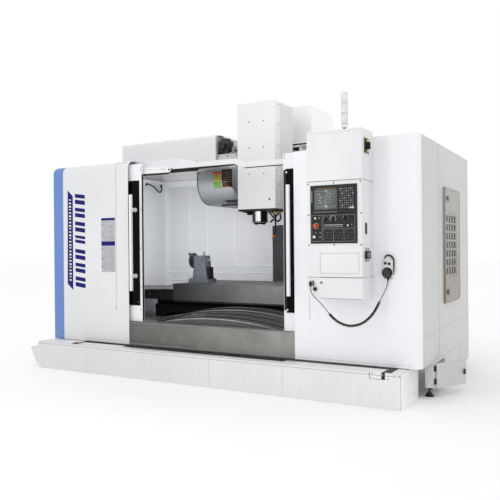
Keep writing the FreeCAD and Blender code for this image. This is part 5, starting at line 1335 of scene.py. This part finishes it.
# tick rings round the selectors
for x, z, n, r0, r1, mat in ((1386, 1550, 13, 22, 27, PRINT_GREY), (1452, 1552, 21, 22, 30, PRINT_LIGHT), (1556, 1556, 13, 21, 25, PRINT_GREY)):
    for i in range(n):
        a = math.radians(-130 + 260 * i / (n - 1))
        s, c = math.sin(a), math.cos(a)
        p = [(x + s * r0 - c * 0.9, z + c * r0 + s * 0.9), (x + s * r1 - c * 1.2, z + c * r1 + s * 1.2),
             (x + s * r1 + c * 1.2, z + c * r1 - s * 1.2), (x + s * r0 + c * 0.9, z + c * r0 - s * 0.9)]
        k.prism(mat, "Y", p, PY - 0.6, PY)
    k.turn(BLACK, (x, PY, z), "-Y", [(20.5, 0), (20.5, 0.4), (19, 0.45)], 32)
# three groups of keys with small lamps
for gx in (1372, 1466, 1559):
    for r in range(4):
        for c in range(4):
            x, z = gx + c * 19.6, 1446 - r * 22.5
            k.box(KEY_D if (r + c) % 3 else KEY, x, x + 16, PY - 1.8, PY, z, z + 17, 1.2)
            k.box(PRINT_DIM, x + 5, x + 11, PY - 2.1, PY - 1.7, z + 7, z + 9.4)
            k.turn(LIGHT_KEY if (r * 4 + c + gx) % 3 == 0 else GREY_KEY, (x + 13, PY - 1.8, z + 14), "-Y", [(1.5, 0), (1.2, 0.6), (0, 0.8)], 8)
# row of small markings and lit buttons
for i in range(16):
    x = 1374 + i * 10.5
    k.box(PRINT_LIGHT, x, x + 7.5, PY - 0.7, PY, 1497 - (i % 2) * 2, 1502)
    k.box(PRINT_GREY, x, x + 6 + (i % 3), PY - 0.7, PY, 1482, 1486.5)
for x, z, r, mat in ((1295, 1558, 9, LIGHT_KEY), (1332, 1560, 8, GREY_KEY), (1585, 1493, 8, LIGHT_KEY), (1341, 1436, 7, GREY_KEY),
                     (1299, 1437, 7, GREY_KEY), (1340, 1400, 8, GREY_KEY), (1621, 1556, 11, BLACK), (1621, 1500, 7, GREY_KEY)):
    k.turn(BLACK, (x, PY, z), "-Y", [(r + 4, 0), (r + 4, 2), (r + 1, 4), (r + 1, 4.2)], 24)
    k.turn(mat, (x, PY - 2, z), "-Y", [(r, 0), (r, 4.5), (r - 1.5, 6), (0, 6.2)], 24)
k.turn(YELLOW, (1301, PY, 1493), "-Y", [(25.5, 0), (25.5, 1), (25, 1.6), (21, 1.7), (21, 0)], 40)
k.turn(BLACK, (1301, PY, 1493), "-Y", [(21, 0), (21, 5), (18, 9.5), (12.5, 7.5), (12.5, 0)], 32)
k.turn(BLACK, (1284, PY, 1402), "-Y", [(16, 0), (16, 2.5), (12.7, 4.4), (12.7, 0)], 28)
for x in (1258, 1652):
    for z in (1355, 1590):
        k.bolt((x, PY, z), "-Y", 3.6, 1.8)
k.done()

# moving caps of the panel's controls
k = Kit("stop_cap_trim", "stop_button", "red_plastic")
RED_SHADE = plastic("red_arrow_print", (0.33, 0.03, 0.025), rough=0.4, grain=0.05)
for i in range(2):
    s = 1 if i else -1
    k.prism(RED_SHADE, "Y", [(1301 - 11 * s, 1493 - 2), (1301 - 5 * s, 1493 + 7 * s), (1301 - 3 * s, 1493 + 4.5 * s), (1301 - 8 * s, 1493 - 3)], PY - 32.4, PY - 31.2)
k.turn(RED, (1301, PY - 18, 1493), "-Y", [(20.4, 0), (20.9, 2), (20.9, 5), (20.2, 7)], 40)
k.done()
for nm, body, x, z in (("mode", "mode_dial", 1386, 1550), ("feed", "feed_dial", 1452, 1552), ("speed", "spindle_dial", 1556, 1556)):
    k = Kit(nm + "_knob_trim", body, "black_plastic")
    for i in range(18):
        a = 2 * math.pi * i / 18
        k.turn(BLACK, (x + 15.4 * math.cos(a), PY - 2, z + 15.4 * math.sin(a)), "-Y", [(1.4, 0), (1.1, 16.5), (0, 17)], 6)
    k.box(LIGHT_KEY, x - 0.8, x + 0.8, PY - 24.5, PY - 23.9, z + 3, z + 12.4)
    k.done()
k = Kit("main_switch_trim", "power_switch", "black_plastic")
for i in range(12):
    a = 2 * math.pi * i / 12
    k.turn(BLACK, (CX1 + 9, -178 + 29 * math.cos(a), 2148 + 29 * math.sin(a)), "X", [(1.8, 0), (1.6, 10), (0, 11)], 8)
k.box(LIGHT_KEY, CX1 + 42, CX1 + 42.6, -179.4, -176.6, 2162, 2176)
k.done()

# ------------------------------------------------------------------ signal tower
k = Kit("signal_tower_trim", "machine", "lens_plastic")
for z in (2361, 2451, 2541):
    k.turn(PRINT_GREY, (1490, -100, z), "Z", [(29.3, 0), (29.6, 0.5), (29.6, 2.5), (29.3, 3)], 36)
for z0, z1 in ((2366, 2446), (2456, 2536), (2546, 2622)):
    for i in range(24):
        a = 2 * math.pi * i / 24
        x, y = 1490 + 29 * math.cos(a), -100 + 29 * math.sin(a)
        k.turn(LENS, (x, y, z0), "Z", [(1.3, 0), (1.3, z1 - z0), (0, z1 - z0 + 0.5)], 6)
k.turn(BLACK_PAINT, (1490, -100, 2298), "Z", [(13, 0), (13, 4), (11.4, 6), (11.4, 26), (14, 28), (14, 33), (11.4, 34)], 24)
k.done()

# ------------------------------------------------------------------ hand unit
k = Kit("hand_unit_trim", "machine", "white_plastic")
k.prism(LIGHT_KEY, "Y", [(1788, 1141), (1877, 1141), (1877, 1196), (1868, 1205), (1797, 1205), (1788, 1196)], -36.5, -33.5, 1)
k.turn(BLACK, (1832, -34, 1096), "-Y", [(46, 0), (46, 0.6), (43, 0.9), (0, 0.9)], 48)
k.tube(BLACK, [(1806, -18, 1210), (1812, -18, 1226), (1824, -18, 1240), (1846, -18, 1242), (1866, -18, 1232), (1882, -18, 1205), (1883, -18, 1150), (1880, -18, 1110)], 6.5, 12, 6)
for z in (1120, 1105, 1090):
    k.box(BLACK, 1781.5, 1785, -30, -4, z - 4, z + 4, 1.2)
    k.box(BLACK, 1880, 1883.5, -30, -4, z - 4, z + 4, 1.2)
k.turn(RUBBER, (1832, -17, 1060), "-Z", [(12, 0), (12, 4), (9, 6), (8.4, 12), (6.5, 22), (4.6, 34), (3.6, 34)], 20)
k.bolts("-Y", 3, 1.2, [(1801, -36.5, 1152), (1864, -36.5, 1152), (1803, -36.5, 1197), (1861, -36.5, 1197)])
k.box(ZINC, 1796, 1868, -4, -0.2, 1040, 1058, 1)
k.done()
k = Kit("hand_dial_trim", "hand_dial", "black_plastic")
for i in range(30):
    a = 2 * math.pi * i / 30
    k.turn(BLACK, (1832 + 36.3 * math.cos(a), -38, 1096 + 36.3 * math.sin(a)), "-Y", [(1.5, 0), (1.3, 9), (0, 9.6)], 6)
k.turn(KEY, (1832, -50, 1096), "-Y", [(27, 0), (26, 1.2), (8, 1.2), (6, 0.4), (0, 0.4)], 36)
for i in range(20):
    a = 2 * math.pi * i / 20
    s, c = math.sin(a), math.cos(a)
    k.prism(PRINT_LIGHT, "Y", [(1832 + s * 29 - c * 0.5, 1096 + c * 29 + s * 0.5), (1832 + s * 33 - c * 0.5, 1096 + c * 33 + s * 0.5),
                               (1832 + s * 33 + c * 0.5, 1096 + c * 33 - s * 0.5), (1832 + s * 29 + c * 0.5, 1096 + c * 29 - s * 0.5)], -50.4, -49.9)
k.done()
for nm, body, x, z in (("axis", "axis_selector", 1818, 1176), ("step", "step_selector", 1852, 1172)):
    k = Kit(nm + "_selector_trim", body, "black_plastic")
    for i in range(12):
        a = 2 * math.pi * i / 12
        k.turn(BLACK, (x + 10.8 * math.cos(a), -36, z + 10.8 * math.sin(a)), "-Y", [(1.1, 0), (0.9, 13), (0, 13.4)], 6)
    k.box(LIGHT_KEY, x - 0.6, x + 0.6, -54.4, -53.9, z + 2, z + 8.4)
    k.done()

# ------------------------------------------------------------------ carousel, rear, bed
k = Kit("carousel_trim", "carousel", "ground_steel")
for i in range(24):
    a = 2 * math.pi * i / 24
    y, z = 1625 + 304 * math.cos(a), 2255 + 304 * math.sin(a)
    k.turn(BLACK, (-715, y, z), "X", [(35, 0), (35, 3), (22, 5), (18, 5), (16, -12), (0, -12)], 20)
    k.turn(DARK_IRON, (-760, y, z), "X", [(36.6, 0), (37.2, 1), (37.2, 9), (36.6, 10)], 20)
for i in range(8):
    a = 2 * math.pi * i / 8
    k.bolt((-814, 1625 + 110 * math.cos(a), 2255 + 110 * math.sin(a)), "X", 10, 6)
k.turn(STEEL_DULL, (-814, 1625, 2255), "X", [(86, 0), (86, 8), (78, 12), (62, 12), (62, 0)], 40)
k.done()

k = Kit("axis_motor_trim", "machine", "black_paint")
for s in range(9):
    y = 2748 + s * 18
    k.box(BLACK_PAINT, -84, 84, y, y + 6, 266, 434, 2)
k.bolts("Y", 7, 5, [(x, 2740, z) for x in (-78, 78) for z in (272, 428)], STEEL_DULL)
for s in range(9):
    z = 2608 + s * 24
    k.box(BLACK_PAINT, -84, 84, 2016, 2184, z, z + 8, 2)
k.done()

k = Kit("bed_trim", "machine", "casting_paint")
for s in (-1, 1):
    x0 = s * 480
    k.box(STEEL, x0 - 79, x0 + 79, 300, 2030, 469.2, 470.15, 0.3)
    for y in range(360, 2030, 160):
        k.bolt((s * 590, y, 400), "Z", 9, 6, SCREW)
for x in (-560, 560):
    for y in (420, 1450, 2600):
        k.turn(STEEL_DULL, (x, y, 60), "-Z", [(26, 0), (26, 8), (15, 8), (15, 14), (0, 14)], 6)
k.bolts("Y", 12, 8, [(x, 2700, z) for x in (-400, -300, 300, 400) for z in (480, 540)])
k.done()
k = Kit("column_trim", "machine", "casting_paint")
for s in (-1, 1):
    for z in range(1080, 2520, 120):
        k.bolt((s * 390, 2080, z), "-Y", 8, 6, SCREW)
    for y in (2140, 2380, 2620):
        k.bolt((s * 450, y, 560), "Z", 13, 10, SCREW)
for x in (-20,):
    k.tube(RUBBER, [(300, 2700, 2450), (300, 2716, 2300), (292, 2718, 1900), (300, 2718, 1300), (296, 2716, 800), (250, 2714, 500), (120, 2712, 452)], 11, 10, 6)
    k.tube(RUBBER, [(340, 2700, 2450), (340, 2716, 2300), (334, 2718, 1900), (338, 2718, 1300), (336, 2716, 800), (330, 2714, 560), (330, 2702, 520)], 9, 10, 6)
for z in (2300, 1700, 1100):
    k.box(ZINC, 280, 356, 2700, 2734, z, z + 14, 1)
k.done()
